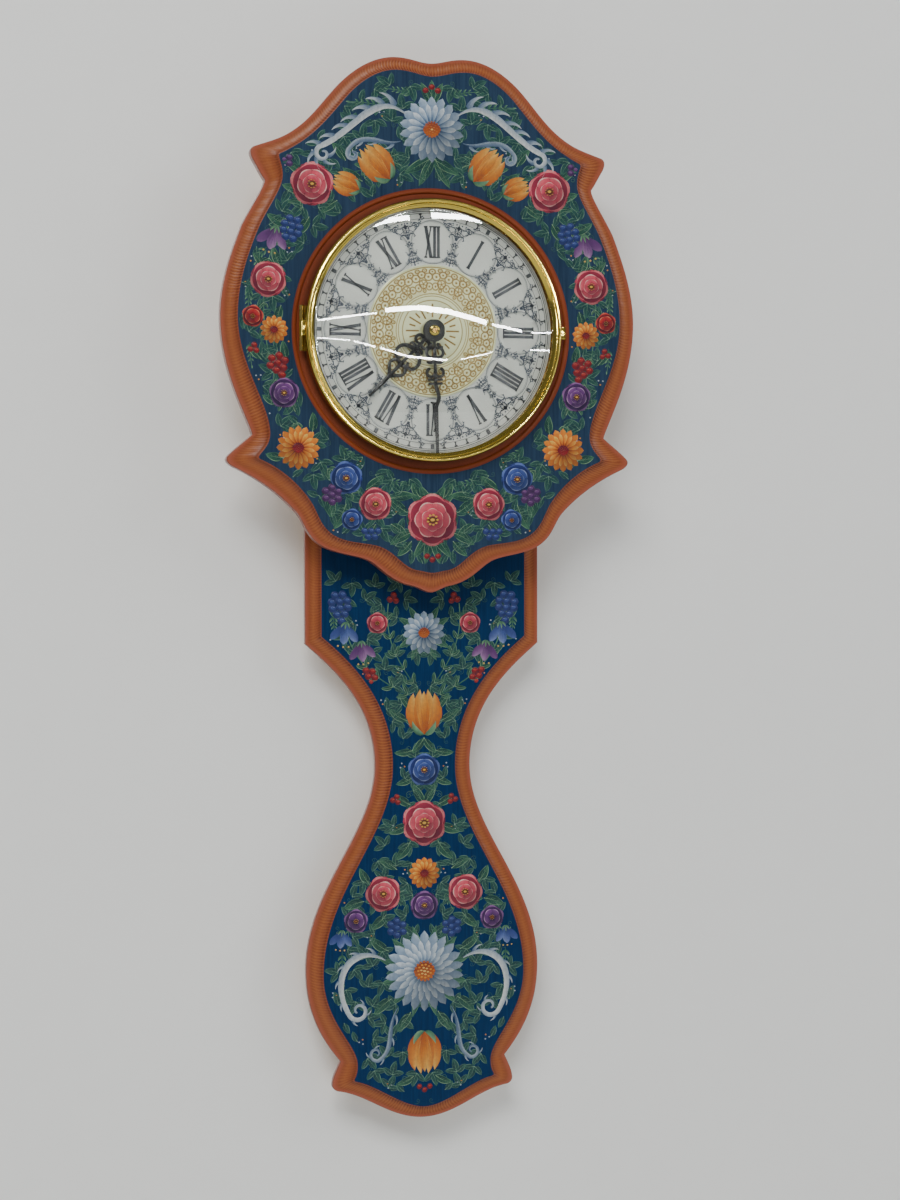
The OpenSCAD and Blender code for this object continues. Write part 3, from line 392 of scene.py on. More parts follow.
def bandMaterial():
    e = edgeRidges
    material, tree, shader, place = newMaterial("terracottaBand", Specular_IOR_Level=0.25, Coat_Weight=0.1,
                                                Coat_Roughness=0.2)
    across = attribute(tree, "across")
    # colour across the band, with its painted shade at the outer roll and its painted highlight in the middle
    # of the cove
    colour = ramp(tree, across, e["colours"])
    middle = maths(tree, "ADD", across, -e["crest"])
    arched = maths(tree, "MULTIPLY", middle, middle)
    swept = maths(tree, "MULTIPLY_ADD", arched, e["arch"], attribute(tree, "along"))
    wave = maths(tree, "MULTIPLY", swept, 2 * math.pi / e["pitch"])
    drift = noise(tree, place, e["driftScale"], detail=2.0)
    chatter = maths(tree, "SINE", maths(tree, "MULTIPLY_ADD", drift, e["drift"], wave))
    inCove = spread(tree, across, e["starts"], e["full"], 0.05, 1.0)
    strength = spread(tree, noise(tree, place, e["patchScale"], detail=1.0), *e["patches"], e["least"], 1.0)
    cut = maths(tree, "MULTIPLY", chatter, maths(tree, "MULTIPLY", inCove, strength))
    # painted highlight: the crests of the chatter are mixed towards the lighter crest colour
    toned = mixColour(tree, spread(tree, cut, -1.0, 1.0, 0.0, e["tint"]), colour, srgb(*e["crestHighlight"]))
    marks = useGroup(tree, blotch, Vector=place, Scale=90.0, Low=0.34, High=0.5)
    worn = mixColour(tree, maths(tree, "MULTIPLY", marks["Speck"], 0.35), toned, srgb(*e["wear"]))
    dress(tree, shader, worn, marks["Value"], cut, e["depth"])
    return material


lipRing = {"inside": 0.092, "outside": 0.1022, "wear": (150, 82, 48),
           # Colours from the inside out: painted shadow of the bezel, darkest next to the brass, then the
           # terracotta roll with a dark line at its outer edge.
           "colours": [(0.0, 60, 22, 12), (0.35, 112, 46, 24), (0.7, 132, 58, 32), (0.86, 92, 28, 18),
                       (1.0, 84, 24, 18)]}


def ringMaterial():
    material, tree, shader, place = newMaterial("lipRing", Specular_IOR_Level=0.3, Coat_Weight=0.12,
                                                Coat_Roughness=0.2)
    centred = vectorMaths(tree, "ADD", place, (0, 0, -dialZ))[0]
    flat = vectorMaths(tree, "MULTIPLY", centred, (1, 0, 1))[0]
    radius = vectorMaths(tree, "LENGTH", flat)["Value"]
    # colour by distance from the dial's centre, with the bezel's painted shadow at the inside
    colour = ramp(tree, spread(tree, radius, lipRing["inside"], lipRing["outside"]), lipRing["colours"])
    marks = useGroup(tree, blotch, Vector=place, Scale=70.0, Low=0.3, High=0.46)
    toned = mixColour(tree, maths(tree, "MULTIPLY", marks["Speck"], 0.3), colour, srgb(*lipRing["wear"]))
    dress(tree, shader, toned, marks["Value"], marks["Speck"], 0.00002)
    return material


def paintMaterial():
    material, tree, shader, place = newMaterial("flowerPaint", Specular_IOR_Level=0.16, Coat_Weight=0.04,
                                                Coat_Roughness=0.25)
    colour = attribute(tree, "paint", "Color")
    grain = useGroup(tree, brushGrain, Vector=place, Across=700.0, Along=60.0, Contrast=1.2)
    marks = useGroup(tree, blotch, Vector=place, Scale=220.0, Low=0.34, High=0.48)
    dabs = useGroup(tree, blotch, Vector=place, Scale=420.0, Low=0.0, High=0.3)
    shaded = mixColour(tree, maths(tree, "MULTIPLY", grain["Mask"], 0.36), colour, srgb(34, 50, 70))
    worn = mixColour(tree, dabs["Value"], shaded, srgb(48, 54, 66))
    dress(tree, shader, worn, marks["Value"], grain["Mask"], 0.00002)
    return material


def glassMaterial():
    material, tree, shader, place = newMaterial("clearGlass", Transmission_Weight=1.0, IOR=1.46,
                                                Specular_IOR_Level=0.62, Base_Color=(0.975, 0.985, 0.98))
    marks = useGroup(tree, blotch, Vector=place, Scale=25.0, Low=0.0, High=0.012)
    put(tree, shader.inputs["Roughness"], marks["Value"])
    rays = add(tree, "ShaderNodeLightPath").outputs
    passed = maths(tree, "MAXIMUM", rays["Is Shadow Ray"], rays["Is Diffuse Ray"])
    seenThrough(tree, shader, passed, (0.94, 0.95, 0.945))
    return material


def embossMaterial():
    material, tree, shader, place = newMaterial("embossedBrass", Metallic=0.5)
    colour = ramp(tree, attribute(tree, "relief"),
                  [(0.0, 136, 98, 44), (0.5, 196, 182, 118), (1.0, 234, 238, 192)])
    marks = useGroup(tree, blotch, Vector=place, Scale=260.0, Low=0.1, High=0.16)
    dress(tree, shader, colour, marks["Value"], marks["Speck"], 0.00002)
    return material


bandPaint = bandMaterial()
lipPaint = ringMaterial()
flowerPaint = paintMaterial()
clearGlass = glassMaterial()
embossedBrass = embossMaterial()
headField = grained("headField", (20, 38, 60), (42, 64, 88), across=620, along=26, rough=(0.38, 0.5),
                    depth=0.00003, contrast=1.5, Specular_IOR_Level=0.14, Coat_Weight=0.03,
                    Coat_Roughness=0.25)
tailField = grained("tailField", (5, 32, 62), (14, 52, 92), across=620, along=26, rough=(0.38, 0.5),
                    depth=0.00003, contrast=1.3, Specular_IOR_Level=0.08, Coat_Weight=0.02,
                    Coat_Roughness=0.25)
sidePaint = speckled("paintedEdge", (96, 44, 34), (132, 62, 46), scale=80, rough=(0.36, 0.5), depth=0.00002,
                     Coat_Weight=0.25, Coat_Roughness=0.25)
backWood = grained("sealedBack", (120, 88, 56), (166, 128, 86), across=260, along=9, rough=(0.5, 0.66),
                   depth=0.00005, contrast=1.6)
railWood = grained("planedRail", (178, 140, 96), (214, 180, 134), across=240, along=8, rough=(0.5, 0.66),
                   depth=0.00005, contrast=1.5)
crossWood = grained("planedTopRail", (178, 140, 96), (212, 176, 130), across=240, along=8,
                    rough=(0.5, 0.66), depth=0.00005, contrast=1.5, turn=(0, math.radians(90), 0))
polishedBrass = speckled("polishedBrass", (176, 154, 66), (200, 178, 88), scale=160, rough=(0.06, 0.13),
                         Metallic=1.0)
panBrass = speckled("panBrass", (186, 154, 78), (218, 190, 112), scale=90, rough=(0.16, 0.28),
                    depth=0.00001, Metallic=1.0)
gearBrass = speckled("gearBrass", (190, 150, 76), (220, 184, 108), scale=200, rough=(0.2, 0.32),
                     Metallic=1.0)
dialSilver = grained("dialSilver", (176, 179, 172), (192, 194, 186), across=800, along=700,
                     rough=(0.42, 0.52), depth=0.00001, contrast=0.8, Metallic=0.25)
printInk = speckled("printInk", (24, 28, 32), (42, 47, 52), scale=300, rough=(0.4, 0.55))
fineInk = speckled("fineInk", (58, 66, 74), (88, 96, 104), scale=300, rough=(0.4, 0.55))
scrollInk = speckled("scrollInk", (36, 44, 54), (70, 80, 96), scale=900, rough=(0.4, 0.55))
handLacquer = speckled("handLacquer", (8, 9, 9), (18, 19, 19), scale=260, rough=(0.34, 0.5), depth=0.00001,
                       Specular_IOR_Level=0.25)
steel = speckled("platedSteel", (150, 150, 146), (186, 186, 180), scale=180, rough=(0.22, 0.36),
                 depth=0.00001, Metallic=1.0)
felt = speckled("greenFelt", (28, 58, 36), (48, 84, 54), scale=900, rough=(0.85, 0.95), depth=0.0001,
                Sheen_Weight=0.4)
greyPlastic = speckled("greyMoulding", (62, 65, 70), (78, 81, 86), scale=400, rough=(0.44, 0.56),
                       depth=0.00002)
blackPlastic = speckled("blackMoulding", (20, 20, 22), (32, 32, 34), scale=400, rough=(0.42, 0.54),
                        depth=0.00002)
whitePlastic = speckled("whiteMoulding", (214, 212, 202), (230, 228, 220), scale=400, rough=(0.4, 0.5),
                        depth=0.00001)
rubber = speckled("washerRubber", (16, 16, 16), (30, 30, 30), scale=300, rough=(0.7, 0.85), depth=0.00003)
laminate = speckled("boardLaminate", (14, 62, 34), (26, 86, 50), scale=240, rough=(0.3, 0.42))
copper = grained("coilCopper", (120, 56, 26), (196, 108, 60), across=5200, along=5200, rough=(0.3, 0.4),
                 depth=0.00004, contrast=1.4, Metallic=0.7)
batteryWrap = speckled("batteryWrap", (30, 34, 40), (46, 50, 58), scale=120, rough=(0.22, 0.34),
                       Coat_Weight=0.5)
magnetGrey = speckled("magnetFerrite", (52, 52, 54), (74, 74, 76), scale=500, rough=(0.5, 0.64),
                      depth=0.00002)
print("stage: materials made")


# The two boards: outlines as a few Bezier legs from the top clockwise, the outer edge and the face's edge

headBoard = {
    "top": ([0, 189.4], [0, 179.6]),
    "outer": [
        [[8, 189.4], [14, 192.9], [25, 192.9], 5],
        [[40, 192.9], [55, 184], [67, 171], 6],
        [[79, 158], [86, 146], [102, 136.3], 6],
        [[109, 132], [118, 129.5], [125, 127], 3],
        [[129.6, 125.9], [129.2, 121.6], [127, 117.5], 4],
        [[124, 112.5], [121.5, 107.5], [118.6, 103.5], 3],
        [[118.4, 98], [130.5, 81], [135, 70.9], 6],
        [[143.2, 49.9], [150, 30], [150, 8], 7],
        [[150, -30], [131, -62], [127.6, -74], 8],
        [[132, -78], [139, -83], [144, -88], 4],
        [[147.2, -90.9], [146.2, -93.8], [141, -96.6], 4],
        [[125, -104], [110, -113.5], [97, -127.5], 6],
        [[91, -134], [90.5, -143], [80, -150.5], 5],
        [[70, -157], [56, -157.5], [46, -161.2], 5],
        [[37, -165], [31, -176], [14, -179.5], 5],
        [[8, -180.6], [4, -184.2], [0, -184.2], 3]],
    "inner": [
        [[8, 179.6], [14, 183.4], [25, 183.4], 5],
        [[37, 183.4], [50, 176], [61, 163.5], 6],
        [[73, 149.5], [82, 137.5], [97, 128.2], 6],
        [[100, 126.4], [104, 124], [106.5, 122.8], 3],
        [[109.6, 121.4], [110.2, 121.2], [109.6, 118.6], 4],
        [[108.6, 115.4], [107.2, 112], [107, 107], 3],
        [[106.6, 97], [119, 82], [124.8, 67.5], 6],
        [[133, 47.5], [138.8, 29], [138.8, 8], 7],
        [[138.8, -25], [117.4, -52], [116.2, -72], 8],
        [[115.8, -80], [120.6, -84.4], [123.4, -87.8], 4],
        [[125, -90], [124.8, -90.6], [122.6, -91.8], 4],
        [[110, -97], [97, -107], [87.5, -120.5], 6],
        [[82.5, -127.5], [81.5, -137], [72, -143.6], 5],
        [[63, -149.6], [51, -149.2], [41, -151.4], 5],
        [[27, -154.5], [22, -167.6], [10, -169], 5],
        [[6, -169.6], [3, -170.8], [0, -170.8], 3]],
    "finer": 13, "lip": 100.6, "lipRoll": 3.6, "lipSteps": 9, "lipPoints": 360, "rebate": 1.6,
    "movementHole": 60}
pendulumBoard = {
    "top": ([85.5, -104], [74.8, -114.6]),
    "outer": [
        [[85.5, -143], [85.5, -182], [85.5, -220.6], 12],
        [[67, -237], [34.8, -262], [34.8, -308], 12],
        [[34.8, -356], [85.2, -394], [85.2, -453], 14],
        [[85.2, -486], [70.5, -506], [60.4, -518], 6],
        [[63, -524], [65.6, -528], [66.2, -533.5], 3],
        [[66.8, -537], [64.4, -539.2], [61, -539.6], 3],
        [[40, -543], [24, -560.4], [0, -560.4], 8]],
    "inner": [
        [[74.8, -150], [74.8, -185], [74.8, -215.6], 12],
        [[53, -234], [23.2, -262], [23.2, -308], 12],
        [[23.2, -358], [73.8, -396], [73.8, -456], 14],
        [[73.8, -488], [49.6, -506], [49.2, -520], 6],
        [[49.1, -524], [49.8, -527], [51, -529.4], 3],
        [[52.2, -531.4], [51.6, -532.2], [49.6, -532.6], 3],
        [[34, -536], [16, -552.2], [0, -552.2], 8]],
    "finer": 15}
edgeCut = {"coveDepth": 4.2, "nosing": 0.9, "lipWidth": 0.14, "rows": 12, "sweep": 86.6, "waver": 0.05,
           "waverPitch": 7.0}


def edgeProfile(thick):     # share of the way from the outer edge to the face's edge, height
    cove = edgeCut["coveDepth"]
    nose = cove + edgeCut["nosing"]
    lip = edgeCut["lipWidth"]
    side = [(0.04, -thick), (0.012, -thick + 0.15), (0, -thick + 0.6), (0, -nose + 0.1)]
    nosing = [(0.006, -cove - 0.4), (0.018, -cove - 0.13), (0.034, -cove - 0.02), (0.06, -cove),
              (lip, -cove)]
    turns = np.linspace(0, math.radians(edgeCut["sweep"]), edgeCut["rows"])[1:]
    hollow = [(lip + (1 - lip) * math.sin(a), -cove * math.cos(a)) for a in turns]
    return side + nosing + hollow + [(1.03, -0.05), (1.07, 0), (1.1, 0)]


def fillBetween(loops):
    return tessellate_polygon([[Vector((p[0], p[1], 0)) for p in loop] for loop in loops])


def mouldedBoard(name, board, node, planeY, fieldPaint):
    thick = (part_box(node)[1].y - planeY) / mm
    field, band, side, lip, back = range(5)         # places in the list of materials
    outerHalf = legPath(board["top"][0], board["outer"], board["finer"])
    innerHalf = legPath(board["top"][1], board["inner"], board["finer"])
    outer, inner = mirrored(outerHalf), mirrored(innerHalf)
    middle = (outerHalf + innerHalf) / 2
    run = np.concatenate([[0], np.cumsum(np.linalg.norm(np.diff(middle, axis=0), axis=1))])
    along = mirrored(np.column_stack([outerHalf[:, 0], run]))[:, 1]
    n = len(outer)
    rings = edgeProfile(thick)
    points, faces, slots, across = [], [], [], []
    for s, h in rings:
        ring = outer + (inner - outer) * s
        lift = edgeCut["waver"] * np.sin(along / edgeCut["waverPitch"] * 2 * math.pi + 3 * s)
        inCove = 1.0 if edgeCut["lipWidth"] < s < 0.97 else 0.0
        points.append(np.column_stack([ring, h + lift * inCove]))
        across += [s] * n
    for k in range(len(rings) - 1):
        onSide = k < 4
        onBand = rings[k + 1][0] <= 1.05
        for i in range(n):
            j = (i + 1) % n
            faces.append((k * n + j, k * n + i, (k + 1) * n + i, (k + 1) * n + j))
            slots.append(side if onSide else band if onBand else field)
    frontLoops, backLoops = [points[-1]], [points[0]]
    frontAt, backAt = [(len(rings) - 1) * n], [0]
    if "lip" in board:
        count = board["lipPoints"]
        base = len(rings) * n
        lipRings = [(board["lip"] + 0.6, 0), (board["lip"] + 0.05, 0)]
        for a in np.linspace(0, math.pi / 2, board["lipSteps"]):
            lipRings.append((board["lip"] - board["lipRoll"] * math.sin(a),
                             -board["rebate"] * (1 - math.cos(a))))
        for r, h in lipRings:
            points.append(np.column_stack([circle(r, count), np.full(count, h)]))
            across += [1.0] * count
        for k in range(len(lipRings) - 1):
            low, high = base + k * count, base + (k + 1) * count
            for i in range(count):
                j = (i + 1) % count
                faces.append((low + i, high + i, high + j, low + j))
                slots.append(lip if k else field)
        half = board["movementHole"] / 2
        square = np.array([(-half, -half), (half, -half), (half, half), (-half, half)])
        floorAt = base + len(lipRings) * count
        points.append(np.column_stack([square, np.full(4, -board["rebate"])]))
        points.append(np.column_stack([square, np.full(4, -thick)]))
        across += [1.0] * 8
        for i in range(4):
            j = (i + 1) % 4
            faces.append((floorAt + i, floorAt + j, floorAt + 4 + j, floorAt + 4 + i))
            slots.append(back)
        rim = base + (len(lipRings) - 1) * count
        for f in fillBetween([circle(board["lip"] - board["lipRoll"], count), square]):
            faces.append([rim + v if v < count else floorAt + v - count for v in f])
            slots.append(lip)
        frontLoops.append(circle(board["lip"] + 0.6, count))
        frontAt.append(base)
        backLoops.append(square)
        backAt.append(floorAt + 4)
    for loops, at, slotIndex in ((frontLoops, frontAt, field), (backLoops, backAt, back)):
        for f in fillBetween(loops):
            faces.append([at[0] + v if v < n else at[1] + v - n for v in f])
            slots.append(slotIndex)
    materials = [fieldPaint, bandPaint, sidePaint, lipPaint, backWood]
    piece = newPiece(name, onDial(np.vstack(points), planeY), faces, materials, 30, slots)
    lipPart = np.zeros(len(across) - n * len(rings))
    runs = np.concatenate([np.tile(along, len(rings)), lipPart])
    for label, values in (("across", across), ("along", runs)):
        layer = piece.data.attributes.new(label, "FLOAT", "POINT")
        layer.data.foreach_set("value", np.asarray(values, np.float32))
    smooth(outward(piece), 30)
    return piece


settle(mouldedBoard("head_board_moulded", headBoard, "head_board", faceY, headField),
       "clock_head", "painted_board", "head_board")
settle(mouldedBoard("pendulum_board_moulded", pendulumBoard, "pendulum_board", tailY, tailField),
       "pendulum", "painted_board", "pendulum_board")
print("stage: boards made")


# Bezel, glass and hand nut as fine turned shapes. The bezel keeps its knuckle and its lift tab.

bezel = {"outside": 92.7, "inside": 86.2, "seat": 8.0, "top": 10.9, "skirt": 3.4, "skirtInside": 90.5,
         "seatRadius": 89.0, "wallTop": 5.2, "segments": 320,
         "beads": ((4.5, 0.42), (4.1, 0.2), (3.7, 0.24), (3.4, 0.48), (3.15, 0.7), (2.9, 0.62), (2.6, 0.32),
                   (2.1, 0.04), (1.6, 0.06), (1.1, 0.4), (0.7, 0.85), (0.36, 1.5), (0.12, 2.3), (0.0, 3.3))}
hinge = {"x": -94.5, "height": 4.5, "third": 32 / 3, "gap": 0.3, "knuckle": 1.7, "pin": 0.825, "points": 48}
glass = {"rise": 9.0, "thick": 1.6, "rim": 88.95, "steps": 40, "segments": 256}
liftTab = {"height": 8.7, "out": 3.6, "low": 4.3, "thick": 1.2, "edge": 0.3}
nut = {"radius": 3.9, "bore": 1.63, "high": 2.3, "segments": 64,
       "turned": ((1.0, 1.05), (0.97, 1.4), (0.86, 1.85), (0.68, 2.16), (0.5, 2.3))}


def bezelProfile():
    inside, outside = bezel["inside"], bezel["outside"]
    seat, top, skirt = bezel["seat"], bezel["top"], bezel["skirt"]
    inner = [(inside, seat + 0.55), (inside + 0.12, seat + 0.85), (inside + 0.7, seat + 1.2)]
    slope = [(inside + 1.0, seat + 1.42), (outside - 4.75, top - 0.78)]
    roll = [(outside - inward, top - down) for inward, down in bezel["beads"]]
    foot = [(outside, skirt + 0.7), (outside - 0.2, skirt + 0.2), (outside - 0.7, skirt),
            (bezel["skirtInside"], skirt), (bezel["skirtInside"], bezel["wallTop"]),
            (bezel["seatRadius"], bezel["wallTop"]), (bezel["seatRadius"], seat), (inside, seat)]
    return inner + slope + roll + foot


def hollowPost(name, centre, radius, bore, z0, z1, material):
    count = hinge["points"]
    outerRing, innerRing = circle(radius, count), circle(bore, count)
    points = []
    for z in (z0, z1):
        points += [(centre[0] + p[0], z, centre[1] + p[1]) for p in (*outerRing, *innerRing)]
    faces = []
    top = 2 * count
    for i in range(count):
        j = (i + 1) % count
        faces += [(i, j, top + j, top + i), (count + j, count + i, top + count + i, top + count + j),
                  (j, i, count + i, count + j), (top + i, top + j, top + count + j, top + count + i)]
    return outward(newPiece(name, onDial(points), faces, [material]))


def block(name, low, high, material, edge=0.15):
    shape = bmesh.new()
    bmesh.ops.create_cube(shape, size=1)
    low, high = np.array(low), np.array(high)
    for v in shape.verts:
        v.co = Vector((low + high) / 2 + np.array(v.co) * (high - low))
    bmesh.ops.bevel(shape, geom=shape.edges[:], offset=edge, segments=2, affect="EDGES", profile=0.5)
    points = onDial([v.co[:] for v in shape.verts])
    faces = [[v.index for v in f.verts] for f in shape.faces]
    shape.free()
    return outward(newPiece(name, points, faces, [material]))


knuckleHalf = hinge["third"] / 2 - hinge["gap"] / 2
bezelPiece = joined("bezel_ring_turned", [
    lathe("ring", bezelProfile(), polishedBrass, bezel["segments"]),
    hollowPost("knuckle", (hinge["x"], hinge["height"]), hinge["knuckle"], hinge["pin"],
               -knuckleHalf, knuckleHalf, polishedBrass),
    block("leaf", (hinge["x"] + hinge["pin"] + 0.2, -knuckleHalf, hinge["height"]),
          (-bezel["outside"] + 0.6, knuckleHalf, hinge["height"] + hinge["knuckle"]), polishedBrass),
    block("tab", (bezel["outside"] - 0.6, -liftTab["height"] / 2, liftTab["low"]),
          (bezel["outside"] + liftTab["out"], liftTab["height"] / 2, liftTab["low"] + liftTab["thick"]),
          polishedBrass, liftTab["edge"])])
smooth(bezelPiece, 28)
settle(bezelPiece, "bezel_door", "polished_brass", "bezel_ring")
ballRadius = (bezel["inside"] ** 2 + glass["rise"] ** 2) / (2 * glass["rise"])      # of the glass's front


def glassProfile():
    seat, thick, rim = bezel["seat"], glass["thick"], glass["rim"]
    drop = seat + glass["rise"] - ballRadius
    radii = np.linspace(0, bezel["inside"], glass["steps"])
    dome = [(r, drop + math.sqrt(ballRadius ** 2 - r * r)) for r in radii]
    edge = [(rim - 0.1, seat), (rim, seat - 0.1), (rim, seat - thick + 0.1), (rim - 0.1, seat - thick)]
    return dome + edge + [(r, h - thick) for r, h in dome[::-1]]


def nutProfile():
    bore, radius = nut["bore"], nut["radius"]
    top = (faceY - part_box("hand_nut")[0].y) / mm
    base = top - nut["high"]
    foot = [(bore, base), (radius - 0.15, base), (radius, base + 0.15)]
    body = [(radius * share, base + up) for share, up in nut["turned"]]
    return foot + body + [(bore + 0.15, top), (bore, top - 0.15)]


settle(lathe("bezel_glass_domed", glassProfile(), clearGlass, glass["segments"], sharpAngle=30,
             closed=False), "bezel_door", "clear_glass", "bezel_glass")
settle(lathe("hand_nut_turned", nutProfile(), polishedBrass, nut["segments"]),
       "minute_hand_set", "polished_brass", "hand_nut")
print("stage: bezel, glass and hand nut made")


# Geometry Nodes: a piece repeated evenly round an axis that runs through the dial's centre

def ringTree(name):
    tree = bpy.data.node_groups.new(name, "GeometryNodeTree")
    tree.interface.new_socket("Geometry", in_out="OUTPUT", socket_type="NodeSocketGeometry")
    for label, kind in (("Geometry", "Geometry"), ("Count", "Int"), ("Step", "Float"), ("First", "Float"),
                        ("Centre", "Vector"), ("Finish", "Material")):
        tree.interface.new_socket(label, in_out="INPUT", socket_type="NodeSocket" + kind)
    into = tree.nodes.new("NodeGroupInput").outputs
    away = vectorMaths(tree, "MULTIPLY", into["Centre"], (-1, -1, -1))[0]
    moved = add(tree, "GeometryNodeTransform", {"Geometry": into["Geometry"], "Translation": away})
    spots = add(tree, "GeometryNodePoints", {"Count": into["Count"], "Position": into["Centre"]})
    index = add(tree, "GeometryNodeInputIndex").outputs[0]
    turned = maths(tree, "MULTIPLY_ADD", index, into["Step"], into["First"])
    turn = add(tree, "ShaderNodeCombineXYZ", {"Y": turned})
    placed = add(tree, "GeometryNodeInstanceOnPoints", {
        "Points": spots.outputs[0], "Instance": moved.outputs[0], "Rotation": turn.outputs[0]})
    real = add(tree, "GeometryNodeRealizeInstances", {"Geometry": placed.outputs[0]})
    finish = add(tree, "GeometryNodeSetMaterial", {"Geometry": real.outputs[0], "Material": into["Finish"]})
    tree.links.new(finish.outputs[0], tree.nodes.new("NodeGroupOutput").inputs[0])
    return tree


roundDial = ringTree("roundTheDial")


def repeated(piece, count, material, first=0.0):
    modifier = piece.modifiers.new("round", "NODES")
    modifier.node_group = roundDial
    values = {"Count": count, "Step": 2 * math.pi / count, "First": first, "Centre": (0.0, 0.0, dialZ),
              "Finish": material}
    for item in roundDial.interface.items_tree:
        if item.name in values:
            modifier[item.identifier] = values[item.name]
    return baked(piece)


# Dial print: thin raised ink, drawn in millimetres with u to the right and v outwards from the centre

dialPrint = {"ink": 0.03, "bold": 0.045, "faint": 0.02, "numeralIn": 51.4, "numeralOut": 73.9, "thick": 2.1,
             "thin": 1.0, "serif": 1.05, "widths": {"I": 2.8, "V": 6.6, "X": 6.2},
             "cartouche": 62.6, "cartoucheRings": ((15.2, 0.42), (14.45, 0.16)),
             "tracks": ((79.2, 0.3), (83.0, 0.36), (84.3, 0.5), (85.4, 0.25))}
romanHours = ("XII", "I", "II", "III", "IIII", "V", "VI", "VII", "VIII", "IX", "X", "XI")


def inkPiece(name, polygons, material, depth=dialPrint["ink"]):
    points, faces = [], []
    for polygon in polygons:
        at, n = len(points), len(polygon)
        points += [(p[0], p[1], -printH) for p in polygon]
        points += [(p[0], p[1], -printH + depth) for p in polygon]
        faces += [list(range(at, at + n))[::-1], list(range(at + n, at + 2 * n))]
        faces += [(at + i, at + (i + 1) % n, at + n + (i + 1) % n, at + n + i) for i in range(n)]
    return outward(newPiece(name, onDial(points), faces, [material], 30))


def bar(a, b, widthA, widthB=None):
    a, b = np.array(a, float), np.array(b, float)
    widthB = widthA if widthB is None else widthB
    d = (b - a) / np.linalg.norm(b - a)
    side = np.array([-d[1], d[0]])
    return [a - side * widthA / 2, b - side * widthB / 2, b + side * widthB / 2, a + side * widthA / 2]


def flatRing(radius, width, count=180, centre=(0, 0)):
    low, high = circle(radius - width / 2, count, centre), circle(radius + width / 2, count, centre)
    return [[low[i], high[i], high[(i + 1) % count], low[(i + 1) % count]] for i in range(count)]


def curl(start, heading, length, turnStart, turnEnd, width, taper):
    quads, p, a = [], np.array(start, float), math.radians(heading)
    steps = 14
    previous = None
    for k in range(steps + 1):
        t = k / steps
        side = np.array([-math.sin(a), math.cos(a)]) * (width * (1 - t) + taper * t) / 2
        pair = (p - side, p + side)
        if previous is not None:
            quads.append([previous[0], pair[0], pair[1], previous[1]])
        previous = pair
        p = p + length / steps * np.array([math.cos(a), math.sin(a)])
        a += math.radians(turnStart * (1 - t) + turnEnd * t) / steps * 2
    return quads


def numeral(text):
    p = dialPrint
    low, high, heavy = p["numeralIn"], p["numeralOut"], p["thick"] * 1.12
    u = -sum(p["widths"][c] for c in text) / 2
    quads = []
    for c in text:
        w = p["widths"][c]
        mid = u + w / 2
        if c == "I":
            quads.append(bar((mid, low + 0.3), (mid, high - 0.3), p["thick"]))
            ends = [(mid, low, w), (mid, high, w)]
        elif c == "V":
            quads.append(bar((u + 1.3, high - 0.3), (mid + 0.35, low), heavy))
            quads.append(bar((u + w - 1.1, high - 0.3), (mid + 0.2, low + 0.3), p["thin"]))
            ends = [(u + 1.3, high, 2.9), (u + w - 1.1, high, 2.4)]
        else:
            first, last = u + 1.2, u + w - 1.2
            quads.append(bar((first, high - 0.3), (last, low + 0.3), heavy))
            quads.append(bar((last, high - 0.3), (first, low + 0.3), p["thin"]))
            ends = [(first, high, 2.7), (last, high, 2.4), (first, low, 2.4), (last, low, 2.7)]
        for x, v, span in ends:
            middle = v + (p["serif"] / 2 if v == low else -p["serif"] / 2)
            quads.append(bar((x - span / 2, middle), (x + span / 2, middle), p["serif"]))
        u += w
    return quads


def turnedRound(quads, degrees):
    a = math.radians(degrees)
    c, s = math.cos(a), math.sin(a)
    return [[(p[0] * c + p[1] * s, -p[0] * s + p[1] * c) for p in quad] for quad in quads]


filigree = [    # start, heading, length, turn at the start and at the end, width: one side of an ornament
    ((0.5, 66.2), 82, 9.5, -40, -230, 0.62), ((1.6, 71.4), 62, 8.0, 40, 240, 0.56),
    ((3.0, 74.4), 18, 8.6, -20, -260, 0.6), ((6.4, 76.6), 4, 8.4, -50, -280, 0.56),
    ((5.2, 75.4), 60, 4.6, -60, -240, 0.46), ((0.4, 69.0), 30, 4.6, 50, 260, 0.5),
    ((9.0, 76.0), -30, 5.6, 60, 250, 0.46), ((0.3, 73.6), 100, 4.6, -100, -230, 0.46),
    ((3.4, 71.6), -20, 3.8, -40, -200, 0.42), ((12.2, 77.4), 0, 4.6, 20, 260, 0.42),
    ((0.3, 57.6), -76, 6.4, 40, 230, 0.56), ((1.8, 52.6), -24, 5.6, -40, -240, 0.5),
    ((0.5, 54.6), -20, 4.2, 60, 230, 0.46), ((0.2, 49.6), 10, 4.6, 50, 210, 0.46),
    ((3.6, 50.2), 20, 3.6, -60, -220, 0.4), ((0.4, 61.8), 84, 3.2, -60, -180, 0.4),
    ((0.4, 62.2), -84, 3.2, 60, 180, 0.4)]
filigreeDots = [    # place and radius
    (0, 64.2, 0.8), (0, 59.6, 0.7), (2.6, 69.8, 0.55), (0, 75.6, 1.2), (5.0, 77.4, 0.6),
    (8.2, 74.9, 0.6), (11.0, 75.4, 0.55), (2.0, 77.3, 0.6), (1.9, 55.9, 0.5), (3.6, 52.6, 0.5),
    (0, 47.9, 0.7), (2.4, 48.4, 0.5)]


